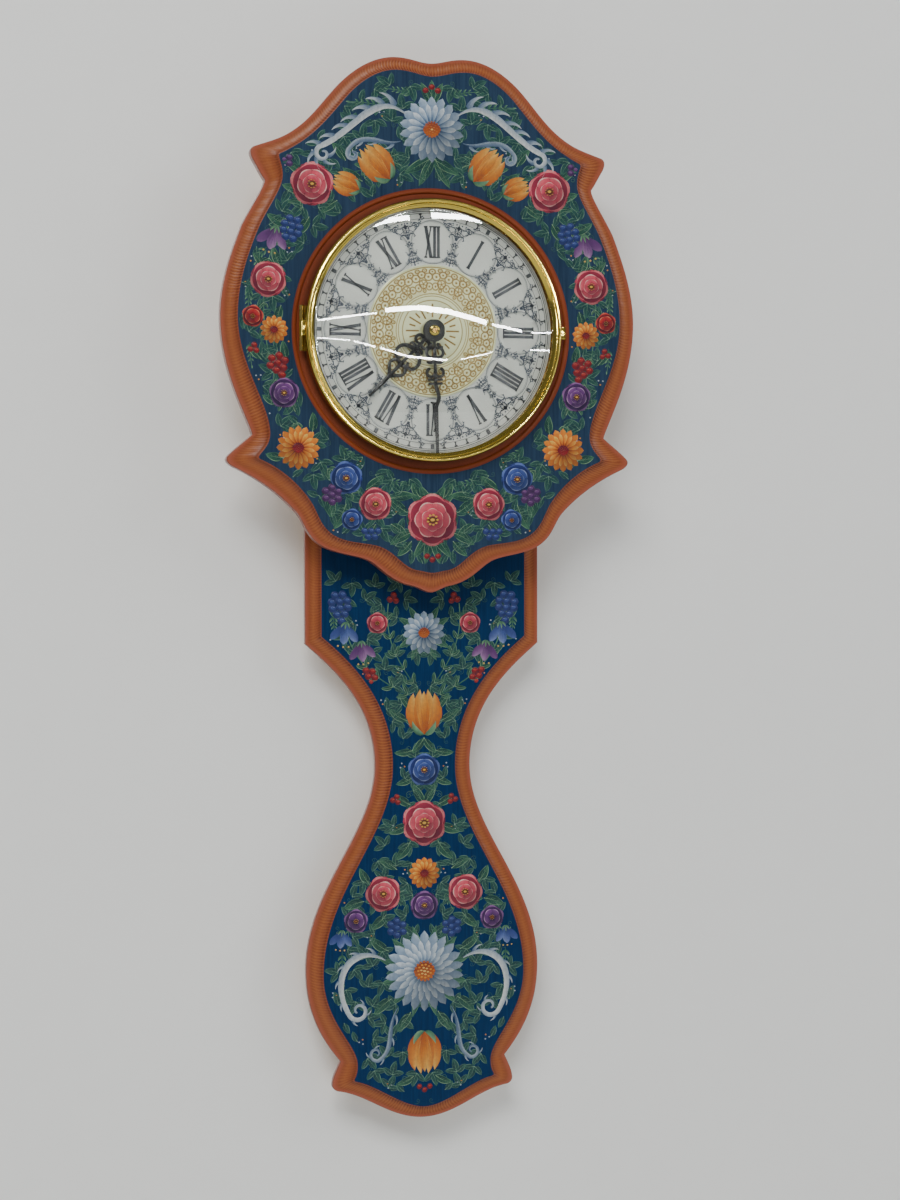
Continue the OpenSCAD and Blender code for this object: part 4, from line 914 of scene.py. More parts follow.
def filigreeQuads():
    quads = []
    for start, heading, length, turnA, turnB, width in filigree:
        one = curl(start, heading, length, turnA, turnB, width * 1.5, width * 0.9)
        middles = [np.mean(np.array(quad), axis=0) for quad in one[1::4]]
        beads = [circle(0.42, 6, (p[0] + (0.95 if k % 2 else -0.95), p[1] + 0.5))
                 for k, p in enumerate(middles)]
        quads += one + beads + [[(-p[0], p[1]) for p in quad] for quad in one + beads]
    for u, v, r in filigreeDots:
        quads += [circle(r, 10, (s * u, v)) for s in ((1, -1) if u else (1,))]
    return quads + [bar((0, 66), (0, 78.4), 0.9, 0.5), bar((0, 48.4), (0, 58.6), 0.7, 0.4)]


numeralQuads, trackQuads, cartoucheQuads = [], [], []
for hour, text in enumerate(romanHours):
    numeralQuads += turnedRound(numeral(text), 30 * hour)
for radius, width in dialPrint["tracks"]:
    trackQuads += flatRing(radius, width)
for radius, width in dialPrint["cartoucheRings"]:
    cartoucheQuads += flatRing(radius, width, 72, (0, dialPrint["cartouche"]))
tickQuads = [bar((0, 79.6), (0, 82.4), 1.0), bar((-1.2, 82.4), (1.2, 82.4), 0.95),
             bar((-0.8, 79.8), (0.8, 79.8), 0.6)]
blockQuads = [bar((0, 79.7), (0, 82.5), 2.7)]
settle(inkPiece("dial_numerals", numeralQuads, printInk, dialPrint["bold"]), "clock_head", "dial_print")
settle(inkPiece("dial_track", trackQuads, printInk), "clock_head", "dial_print")
for name, quads, ink, depth, count, first in (
        ("minute_ticks", tickQuads, printInk, dialPrint["ink"], 60, 0),
        ("minute_blocks", blockQuads, printInk, dialPrint["bold"], 12, 0),
        ("dial_cartouches", cartoucheQuads, fineInk, dialPrint["ink"], 12, 0),
        ("dial_filigree", filigreeQuads(), scrollInk, dialPrint["faint"], 12, 15)):
    settle(repeated(inkPiece(name, quads, ink, depth), count, ink, math.radians(first)),
           "clock_head", "dial_print")
print("stage: dial printed")


# Embossed centre: a disc of fine rings, with a sunburst and a scrolled border sunk into it

emboss = {
    "radius": 46.6, "bore": 5.2, "thick": 0.5, "rings": 126, "spokes": 720, "rays": 24, "repeats": 16,
    "longRay": (9.6, 19.4), "shortRay": (12.6, 17.2), "borderFrom": 26.8, "borderTo": 44.2,
    "borderMiddle": 35.4,
    "lines": ((21.6, 0.32), (24.6, 0.26), (26.2, 0.3), (44.9, 0.42)),       # radius, half width
    "rosettes": ((0, -2.0, 3.0, 0.5), (0, 4.6, 2.3, 0.55), (4.2, 2.8, 2.6, 0.45), (4.4, -4.0, 2.5, 0.45),
                 (6.8, 6.4, 1.7, 0.5), (0, -6.6, 1.3, 0.5), (2.2, 7.4, 1.2, 0.45)),     # place, radius, width
    "deep": 0.12, "ringMiddle": 23.2, "ringHalf": 2.8, "ringDeep": 0.1}


def patternLines(r, a):
    e = emboss
    turn = 2 * math.pi
    ray = (a * e["rays"] / turn + 0.5) % 1 - 0.5
    sideways = np.abs(ray) * turn / e["rays"] * r
    isLong = (np.floor(a * e["rays"] / turn + 0.5) % 2) == 0
    longRay, shortRay = ((r > low) & (r < high) for low, high in (e["longRay"], e["shortRay"]))
    lines = np.where(np.where(isLong, longRay, shortRay), np.clip(1.6 - sideways / 0.5, 0, 1), 0.0)
    for at, wide in e["lines"]:
        lines = np.maximum(lines, np.clip(1.3 - np.abs(r - at) / wide, 0, 1))
    u = ((a * e["repeats"] / turn) % 1 - 0.5) * turn / e["repeats"] * 35
    v = r - e["borderMiddle"]
    border = np.zeros(np.broadcast(r, a).shape)
    for cx, cy, radius, wide in e["rosettes"]:
        d = np.hypot(np.abs(u) - cx, v - cy)
        border = np.maximum(border, np.clip(1.35 - np.abs(d - radius) / wide, 0, 1))
        border = np.maximum(border, np.clip(1.5 - d / (radius * 0.3), 0, 1))
    petals = np.clip(np.cos(np.arctan2(v + 2.0, u) * 5), 0, 1)
    border = np.where(np.hypot(u, v + 2.0) < 2.4, np.maximum(border, petals), border)
    stipple = np.clip(np.sin(r * 7.1 + 2 * np.sin(a * 48)) * np.sin(a * 144 + r), 0, 1)
    stipple = stipple * np.clip((35 - r) / 6, 0, 1)
    inBorder = (r > e["borderFrom"]) & (r < e["borderTo"])
    return np.where(inBorder, np.maximum(border, 0.7 * stipple), lines)


def embossedDisc():
    e = emboss
    n = e["spokes"]
    inner = np.linspace(e["bore"] + 0.1, e["radius"] - 0.25, e["rings"])
    radii = np.concatenate([[e["bore"]], inner, [e["radius"]]])
    rows = len(radii)
    radius, angle = np.meshgrid(radii, np.arange(n) / n * 2 * math.pi, indexing="ij")
    drawn = patternLines(radius, angle)
    sunk = e["ringDeep"] * (np.abs(radius - e["ringMiddle"]) < e["ringHalf"])
    height = e["thick"] - 0.02 - e["deep"] * drawn - sunk
    height[-1] = 0.3        # the rolled rim
    places = (radius * np.cos(angle), radius * np.sin(angle), height - printH)
    low = [np.column_stack([circle(r, n), np.full(n, -printH)]) for r in (e["bore"], e["radius"])]
    points = np.vstack([np.column_stack([place.ravel() for place in places])] + low)
    i = np.arange(n)
    j = (i + 1) % n
    loops = [(k, k + 1) for k in range(rows - 1)] + [(rows - 1, rows + 1), (rows, 0), (rows + 1, rows)]
    faces = [np.column_stack([a * n + i, b * n + i, b * n + j, a * n + j]) for a, b in loops]
    piece = newPiece("dial_centre_embossed", onDial(points), np.vstack(faces), [embossedBrass], 60)
    relief = piece.data.attributes.new("relief", "FLOAT", "POINT")
    relief.data.foreach_set("value", np.concatenate([1 - drawn.ravel(), np.ones(2 * n)]).astype(np.float32))
    return piece


settle(embossedDisc(), "clock_head", "embossed_brass", "dial_centre")
print("stage: dial centre embossed")


# Painting. Every brush mark is a thin closed lens of paint that is rooted in the board. Its colours sit in
# an attribute. Places and sizes are millimetres from the dial's centre, headings degrees from +x.

paintLook = {"root": -0.02, "bulge": 0.09, "least": 0.04, "fromEdge": 1.5, "lightFrom": 122,
             "lightGain": 0.2, "nudges": (2.0, 4.0, 6.0, 8.0)}
palette = {     # dark, mid, light, pale
    "leaf": [(22, 56, 50), (44, 88, 66), (98, 144, 102), (152, 184, 140)],
    "shade": [(22, 56, 56), (42, 84, 72), (74, 118, 94), (120, 156, 128)],
    "pink": [(118, 26, 44), (186, 66, 80), (222, 128, 126), (240, 188, 176)],
    "orange": [(138, 54, 12), (196, 104, 22), (226, 150, 48), (240, 196, 104)],
    "blue": [(22, 32, 84), (50, 66, 128), (92, 112, 172), (146, 162, 204)],
    "plum": [(50, 22, 62), (92, 48, 104), (140, 96, 146), (184, 150, 184)],
    "red": [(92, 14, 18), (156, 34, 28), (202, 84, 58), (230, 148, 108)],
    "cream": [(56, 78, 108), (112, 132, 154), (176, 188, 196), (222, 226, 222)]}
heartDark, heartLight = (104, 54, 14), (228, 178, 70)


def toneRun(tones, n):
    tones = np.asarray(tones, float)
    at = np.linspace(0, len(tones) - 1, n)
    return np.column_stack([np.interp(at, np.arange(len(tones)), tones[:, c]) for c in range(3)])


def onCircle(at, radius, a):
    return (at[0] + radius * math.cos(a), at[1] + radius * math.sin(a))


def directions(line):
    forward = np.gradient(line, axis=0)
    return forward / np.maximum(np.linalg.norm(forward, axis=1, keepdims=True), 1e-9)


def beside(line, offset):       # the line moved to its left by an offset at each point
    forward = directions(line)
    return line + np.column_stack([-forward[:, 1], forward[:, 0]]) * offset[:, None]


def courseAt(line, i):
    across, up = line[i + 1] - line[i]
    return math.degrees(math.atan2(up, across))


def runFrom(at, a, step):
    moves = step * np.column_stack([np.cos(a), np.sin(a)])
    return np.vstack([[at], np.asarray(at) + np.cumsum(moves, axis=0)])


def brushPath(at, heading, length, bend=0.0, n=9):
    return runFrom(at, np.radians(heading + bend * np.linspace(0, 1, n)[:-1]), length / (n - 1))


def shares(n):
    return np.linspace(0, 1, n)


def leafShape(t):
    return np.sin(math.pi * t ** 0.8) ** 0.85


def petalShape(t):
    return np.sin(math.pi * np.clip(t, 0, 1) ** 1.75) ** 0.6


def roundShape(t):
    return np.sqrt(np.maximum(0, 1 - (2 * t - 1) ** 2))


def commaShape(t):
    return (1 - t) ** 0.75 * np.minimum(1, np.sqrt(8 * t + 0.02))


def dab(sheet, line, width, tones, lift=0.0, other=None, bulge=1.0, thin=False):
    line = np.asarray(line, float)
    n = len(line)
    forward = directions(line)
    side = np.column_stack([forward[:, 1], -forward[:, 0]])
    w = np.maximum(np.broadcast_to(width, n), paintLook["least"])
    across = np.array([-1, 0, 1] if thin else [-1, -0.6, 0, 0.6, 1])
    rise = np.array([0, 1, 0] if thin else [0, 0.78, 1, 0.78, 0])
    place = line[:, None, :] + side[:, None, :] * (w[:, None] * across)[:, :, None]
    top = lift + np.minimum(paintLook["bulge"] * bulge, 0.5 * w)[:, None] * rise
    height = np.where(rise[None, :] > 0, top, paintLook["root"])
    left = toneRun(tones, n)
    right = left if other is None else toneRun(other, n)
    share = ((across + 1) / 2)[None, :, None]
    sheet.append((np.dstack([place, height]), left[:, None, :] * (1 - share) + right[:, None, :] * share))


def motif(draw):        # what one call draws is kept or left out as a whole
    def drawn(sheet, *places, **looks):
        marks = []
        draw(marks, *places, **looks)
        sheet.append(marks)
    return drawn


def dot(sheet, at, radius, tones, lift=0.1, bulge=1.0, other=None):
    small = radius < 0.8
    n = 5 if radius <= 0.8 else 7
    line = brushPath((at[0] - radius, at[1]), 0, 2 * radius, 0, n)
    dab(sheet, line, radius * np.maximum(roundShape(shares(n)), 0.12), tones, lift, other, bulge, small)


@motif
def leaf(sheet, at, heading, length, width, bend=25, lift=0.0, tone="leaf", veins=4, n=11):
    dark, mid, light, pale = palette[tone]
    t = shares(n)
    spine = brushPath(at, heading, length, bend, n)
    dab(sheet, spine, width / 2 * leafShape(t), [dark, dark, mid], lift, [mid, mid, light])
    dab(sheet, spine[:-1], np.linspace(0.34, 0.12, n - 1), [pale, light], lift + 0.1, thin=True)
    for k in range(veins):
        share = 0.18 + 0.62 * k / veins
        i = int(share * (n - 1))
        reach = width * 0.46 * float(leafShape(share))
        for s in (-1, 1):
            vein = brushPath(spine[i], courseAt(spine, i) + s * 44, reach, -s * 22, 5)
            tones = [light if s < 0 else pale, mid]
            dab(sheet, vein, 0.21 * leafShape(shares(5)), tones, lift + 0.09, thin=True)
    for s, shade in ((-1, pale), (1, mid)):
        edge = beside(spine, s * width / 2 * 0.8 * leafShape(t))
        dab(sheet, edge[2:-1], 0.26, [light, shade, light], lift + 0.08, thin=True)


@motif
def sprig(sheet, at, heading, length, bend, count, size):
    dark, mid, light, pale = palette["leaf"]
    stem = brushPath(at, heading, length, bend, 2 * count + 3)
    dab(sheet, stem, np.linspace(0.42, 0.2, len(stem)), [mid, light], 0.03, thin=True)
    for k in range(count):
        i = 1 + 2 * k
        scale = size * (1 - 0.45 * k / count)
        for s in (-1, 1):
            line = brushPath(stem[i], courseAt(stem, i) + s * 48, scale, -s * 30, 7)
            dab(sheet, line, scale * 0.19 * leafShape(shares(7)), [dark, mid, light], 0.0,
                [mid, light, pale])
    line = brushPath(stem[-1], courseAt(stem, len(stem) - 2), size * 0.6, 10, 7)
    dab(sheet, line, size * 0.13 * leafShape(shares(7)), [mid, light], 0.0, [light, pale])


def tendril(sheet, at, heading, length, turn, width=0.5, tone="leaf"):
    n = 22
    line = runFrom(at, np.radians(heading + turn * shares(n) ** 1.9), length / n)
    dab(sheet, line, np.linspace(width / 2, width / 5, len(line)), palette[tone][1:3], 0.02, thin=True)


def litFrom(tones, heading):
    gain = 1 + paintLook["lightGain"] * math.cos(math.radians(heading - paintLook["lightFrom"]))
    return [tuple(min(250, c * gain) for c in tone) for tone in tones]


def petal(sheet, at, heading, start, length, width, tones, lift):
    d = towards(heading)
    side = np.array([-d[1], d[0]])
    t = shares(9)
    base = np.asarray(at) + d * start
    spine = base + d * (t * (length - start))[:, None]
    dark, mid, light, pale = litFrom(tones, heading)
    dab(sheet, spine, width / 2 * petalShape(t * 0.97 + 0.03), [dark, mid, light], lift,
        [dark, mid, mid], 1.5)
    u = np.linspace(-1, 1, 8)
    reach = (length - start) * (0.93 - 0.3 * u ** 2)
    edge = base + d * reach[:, None] + side * (width * 0.42 * u)[:, None]
    dab(sheet, edge, width * 0.075 * (1.15 - u ** 2), [light, pale, light], lift + 0.12, thin=True)
    for s in (-0.22, 0.2):
        out, aside = t[:7] * (length - start) * 0.9, s * width * t[:7] ** 1.4
        line = base + d * out[:, None] + side * aside[:, None]
        dab(sheet, line, width * 0.045 * leafShape(shares(7)), [dark, mid], lift + 0.12, thin=True)


@motif
def blossom(sheet, at, radius, tone, petals=5, turn=90, rings=3):
    tones = palette[tone]
    lift = 0.12
    for ring in range(rings):
        size = radius * (1 - 0.27 * ring)
        wide = 2 * size * math.sin(math.pi / petals) * 1.16
        ringTones = tones if ring else [tones[0], *tones[:3]]
        for k in range(petals):
            heading = turn + ring * 180 / petals + 360 * k / petals
            petal(sheet, at, heading, size * 0.1, size, wide, ringTones, lift + 0.1 * ring)
    top = lift + 0.1 * rings + 0.06
    dot(sheet, at, radius * 0.2, [heartDark], top, 1.5)
    for k in range(9):
        seed = onCircle(at, radius * 0.19, 2 * math.pi * k / 9)
        dot(sheet, seed, radius * 0.05, [heartLight], top + 0.08)
    dot(sheet, at, radius * 0.09, [heartLight], top + 0.12)


@motif
def daisy(sheet, at, radius, tone, petals=16, heartTone="orange", rings=2):
    lift = 0.12
    for ring in range(rings):
        size = radius * (1 - 0.24 * ring)
        up = lift + 0.1 * ring
        wide = 2 * math.pi * size / petals * 0.44
        for k in range(petals):
            heading = 90 + 360 * (k + 0.5 * ring) / petals
            d = towards(heading)
            line = np.asarray(at) + d * np.linspace(radius * 0.2, size, 8)[:, None]
            lit = litFrom(palette[tone], heading)
            inner = lit[:3] if ring else [*lit[:2], lit[1]]
            outer = lit[1:] if ring else lit[:3]
            dab(sheet, line, wide * petalShape(shares(8) * 0.96 + 0.04), inner, up, outer, 1.3)
            side = np.array([-d[1], d[0]]) * wide * 0.3
            dab(sheet, line[1:6] + side, wide * 0.13 * leafShape(shares(5)), palette[tone][:2], up + 0.1,
                thin=True)
    core = palette[heartTone]
    top = lift + 0.1 * rings + 0.06
    dot(sheet, at, radius * 0.27, [core[0], core[0]], top, 1.6, [core[1], core[1]])
    for ringSize, count, shade in ((0.235, 16, core[1]), (0.16, 11, core[2]), (0.085, 6, core[3])):
        for k in range(count):
            a = 2 * math.pi * (k + ringSize * 9) / count
            dot(sheet, onCircle(at, radius * ringSize, a), radius * 0.032, [shade], top + 0.1)
    dot(sheet, at, radius * 0.04, [core[3]], top + 0.12)


@motif
def tulip(sheet, at, heading, length):
    dark, mid, light, pale = palette["orange"]
    leafTones = palette["leaf"]
    lift = 0.14
    deep, bright, dull = [dark, mid, light], [mid, light, pale], [dark, mid, mid]
    for s, first, second in ((-1, bright, dull), (1, deep, bright)):
        line = brushPath(at, heading + s * 42, length * 0.98, -s * 62, 10)
        dab(sheet, line, length * 0.17 * leafShape(shares(10)), first, lift, second, 1.6)
    for s in (-1, 1):
        line = brushPath(at, heading + s * 20, length, -s * 34, 10)
        dab(sheet, line, length * 0.16 * leafShape(shares(10)), deep, lift + 0.1, bright, 1.6)
        for q in (0.25, 0.5):
            inner = brushPath(at, heading + s * (20 + 9 * q), length * 0.8, -s * 30, 7)
            dab(sheet, inner[1:], length * 0.014, [pale, light], lift + 0.26, thin=True)
    line = brushPath(at, heading, length * 0.94, 0, 10)
    dab(sheet, line, length * 0.17 * leafShape(shares(10)), bright, lift + 0.22, deep, 1.8)
    for q in (-1, 0, 1):
        inner = brushPath(at, heading + 7 * q, length * 0.7, 0, 7)
        dab(sheet, inner[1:], length * 0.013 * leafShape(shares(6)) + 0.05, [dark, mid], lift + 0.4,
            thin=True)
    for s in (-1, 1):
        line = brushPath(at, heading + s * 70, length * 0.42, -s * 70, 7)
        dab(sheet, line, length * 0.07 * leafShape(shares(7)), leafTones[1:3], lift + 0.4, leafTones[2:])


@motif
def bellflower(sheet, at, heading, length, tone="blue"):
    dark, mid, light, pale = palette[tone]
    leafTones = palette["leaf"]
    lift = 0.14
    dull = [dark, mid, mid]
    for s, first, second in ((-1, [mid, light, pale], dull), (1, dull, [mid, mid, light])):
        line = brushPath(at, heading + s * 30, length * 1.02, s * 16, 9)
        dab(sheet, line, length * 0.2 * petalShape(shares(9) * 0.92 + 0.06), first, lift, second, 1.5)
    line = brushPath(at, heading, length, 0, 9)
    dab(sheet, line, length * 0.22 * petalShape(shares(9) * 0.94 + 0.05), [dark, mid, light], lift + 0.12,
        [mid, light, pale], 1.8)
    for q in (-9, 0, 9):
        inner = brushPath(at, heading + q, length * 0.78, 0, 6)
        dab(sheet, inner[1:], length * 0.016, [dark, mid], lift + 0.3, thin=True)
        tip = brushPath(at, heading + 1.4 * q, length * 1.12, 0, 2)[-1]
        dot(sheet, tip, length * 0.045, [palette["orange"][3]], lift + 0.3)
    for s in (-1, 0, 1):
        line = brushPath(at, heading + s * 55, length * 0.34, -s * 50, 6)
        dab(sheet, line, length * 0.06 * leafShape(shares(6)), leafTones[1:3], lift + 0.34, leafTones[2:])


def berries(sheet, places, radius, tone="red"):
    dark, mid, light, pale = palette[tone]
    for k, (x, y) in enumerate(places):
        up = 0.16 + 0.05 * (k % 3)
        dot(sheet, (x, y), radius, [dark, mid], up, 2.2, [mid, dark])
        dot(sheet, (x - radius * 0.16, y + radius * 0.18), radius * 0.6, [mid, light], up + 0.16, 1.2,
            [mid, mid])
        dot(sheet, (x - radius * 0.3, y + radius * 0.34), radius * 0.22, [pale], up + 0.3)


def bunch(centre, rows, pitch, heading):
    d = towards(heading)
    side = np.array([-d[1], d[0]])
    places = []
    for row, count in enumerate(rows):
        for k in range(count):
            shift = (k - (count - 1) / 2) * pitch
            places.append(np.asarray(centre) + d * row * pitch * 0.82 + side * shift)
    return places


def scroll(sheet, line, width, feathers, side, feather):
    dark, mid, light, pale = palette["cream"]
    lift = 0.08
    n = len(line)
    t = shares(n)
    body = width / 2 * np.minimum(1, 5 * t + 0.15) * (1 - 0.78 * t)
    for k in range(feathers):
        share = 0.06 + 0.8 * k / feathers
        i = int(share * (n - 1))
        size = feather * (1 - 0.5 * share)
        tip = brushPath(line[i], courseAt(line, i) + side * 62, size, -side * 78, 9)
        dab(sheet, tip, size * 0.17 * commaShape(shares(9)), [dark, mid, light], lift,
            [mid, light, pale], 1.3)
        dab(sheet, tip[1:-1], size * 0.03, [mid, pale], lift + 0.13, thin=True)
    other = [pale, pale, light] if side > 0 else [dark, mid, dark]
    dab(sheet, line, body, [mid, light, mid], lift + 0.14, other, 1.8)
    dab(sheet, beside(line, body * 0.45)[1:-1], 0.22, [pale, light], lift + 0.32, thin=True)


def spiralFrom(line, heading, radius, turn):
    n = 26
    a = math.radians(heading)
    p = np.asarray(line[-1], float)
    points = list(line)
    for k in range(n):
        r = radius * (1 - 0.8 * k / n)
        step = math.radians(abs(turn)) / n
        p = p + r * step * np.array([math.cos(a), math.sin(a)])
        a += math.copysign(step, turn)
        points.append(p)
    return np.array(points)


def greenery(sheet, low, high, pitch, length):      # staggered rows of three leaves, under the flowers
    columns = int((high[0] - low[0]) / pitch) + 1
    rows = int((high[1] - low[1]) / (pitch * 0.86)) + 1
    for row in range(rows):
        for column in range(columns):
            k = row * 7 + column * 11
            at = (low[0] + (column + 0.5 * (row % 2)) * pitch + 2.2 * math.sin(k * 1.3),
                  low[1] + row * pitch * 0.86 + 2.2 * math.cos(k * 2.1))
            heading = (k * 47) % 360
            bend = 24 if k % 2 else -24
            for turn, scale in ((0, 1.0), (68, 0.82), (-64, 0.86)):
                reach = length * scale
                leaf(sheet, at, heading + turn, reach, reach * 0.54, bend, -0.01, "shade", 2, 9)
            if k % 3 == 0:
                tendril(sheet, at, heading + 180, length * 0.9, 400 if k % 2 else -400, 0.42, "shade")


def vine(sheet, line, width, tones, knots, leafAt):
    dab(sheet, line, width, tones, 0.03, thin=True)
    for k in knots:
        for s in (-1, 1):
            swing, length, wide = leafAt(k, s)
            leaf(sheet, line[k], courseAt(line, k) + s * swing, length, wide, -s * 30, veins=0)


def trios(sheet, places, away, radius):
    for at in places:
        for k in range(3):
            tone = palette["cream"][2] if k else palette["orange"][2]
            dot(sheet, onCircle(at, away, 2.1 * k + at[0]), radius, [tone], 0.06)


def mirroredMark(mark):
    return (mark[0] * [-1, 1, 1], mark[1])


def insideFace(marks, edge, hole):
    p = np.vstack([mark[0][:, :, :2].reshape(-1, 2) for mark in marks])
    a, b = edge, np.roll(edge, -1, axis=0)
    crosses = (a[:, 1] > p[:, 1:2]) != (b[:, 1] > p[:, 1:2])
    rise = np.where(np.abs(b[:, 1] - a[:, 1]) < 1e-9, 1e-9, b[:, 1] - a[:, 1])
    x = a[:, 0] + (p[:, 1:2] - a[:, 1]) * (b[:, 0] - a[:, 0]) / rise
    inside = (np.sum(crosses & (p[:, 0:1] < x), axis=1) % 2) == 1
    nearest = np.min(np.hypot(p[:, 0:1] - a[:, 0], p[:, 1:2] - a[:, 1]), axis=1)
    return bool(np.all(inside & (nearest > paintLook["fromEdge"]) & (np.hypot(p[:, 0], p[:, 1]) > hole)))


def fitted(marks, edge, hole):      # a motif of more than ten marks may move a little to fit
    nudges = [(0, 0)]
    if len(marks) > 10:
        for reach in paintLook["nudges"]:
            nudges += [onCircle((0, 0), reach, a) for a in np.linspace(0, 2 * math.pi, 13)[:-1]]
    for nudge in nudges:
        moved = [(place + [*nudge, 0], colour) for place, colour in marks]
        if insideFace(moved, edge, hole):
            return moved
    return []


def keptMarks(sheet, board):
    edge = mirrored(legPath(board["top"][1], board["inner"], 2))
    hole = board.get("lip", 0) + 1.0
    groups = [group if isinstance(group, list) else [group] for group in sheet]
    return [mark for group in groups for mark in fitted(group, edge, hole)]


def paintPiece(name, marks, planeY, body):
    points, faces, colours = [], [], []
    at = 0
    for place, colour in marks:
        n, m = place.shape[:2]
        points.append(place.reshape(-1, 3))
        colours.append(colour.reshape(-1, 3))
        corner = (at + np.arange(n - 1)[:, None] * m + np.arange(m - 1)[None, :]).ravel()
        faces += np.column_stack([corner, corner + 1, corner + m + 1, corner + m]).tolist()
        low = at + np.arange(n - 1) * m
        faces += np.column_stack([low + m - 1, low, low + m, low + 2 * m - 1]).tolist()
        faces += [list(range(at, at + m))[::-1], list(range(at + (n - 1) * m, at + n * m))]
        at += n * m
    piece = newPiece(name, onDial(np.vstack(points), planeY), faces, [flowerPaint], 40)
    c = np.vstack(colours) / 255
    c = np.where(c <= 0.04045, c / 12.92, ((c + 0.055) / 1.055) ** 2.4)
    layer = piece.data.color_attributes.new("paint", "FLOAT_COLOR", "POINT")
    layer.data.foreach_set("color", np.column_stack([c, np.ones(len(c))]).astype(np.float32).ravel())
    smooth(outward(piece, merge=None), 50)
    settle(piece, body, "painted_board")


def paintBoard(prefix, ground, half, middle, planeY, body, board):
    for label, sheet in (("greenery", ground), ("flowers", half)):
        marks = keptMarks(sheet, board)
        paintPiece(f"{prefix}_{label}_right", marks, planeY, body)
        paintPiece(f"{prefix}_{label}_left", [mirroredMark(mark) for mark in marks], planeY, body)
    paintPiece(f"{prefix}_flowers_middle", keptMarks(middle, board), planeY, body)


stemTones = palette["leaf"][1:3]


def headVineLeaf(k, s):
    reach = 7.5 + 2.5 * math.sin(k * 1.7 + s)
    return 52 + 8 * math.sin(k), reach, reach * 0.42


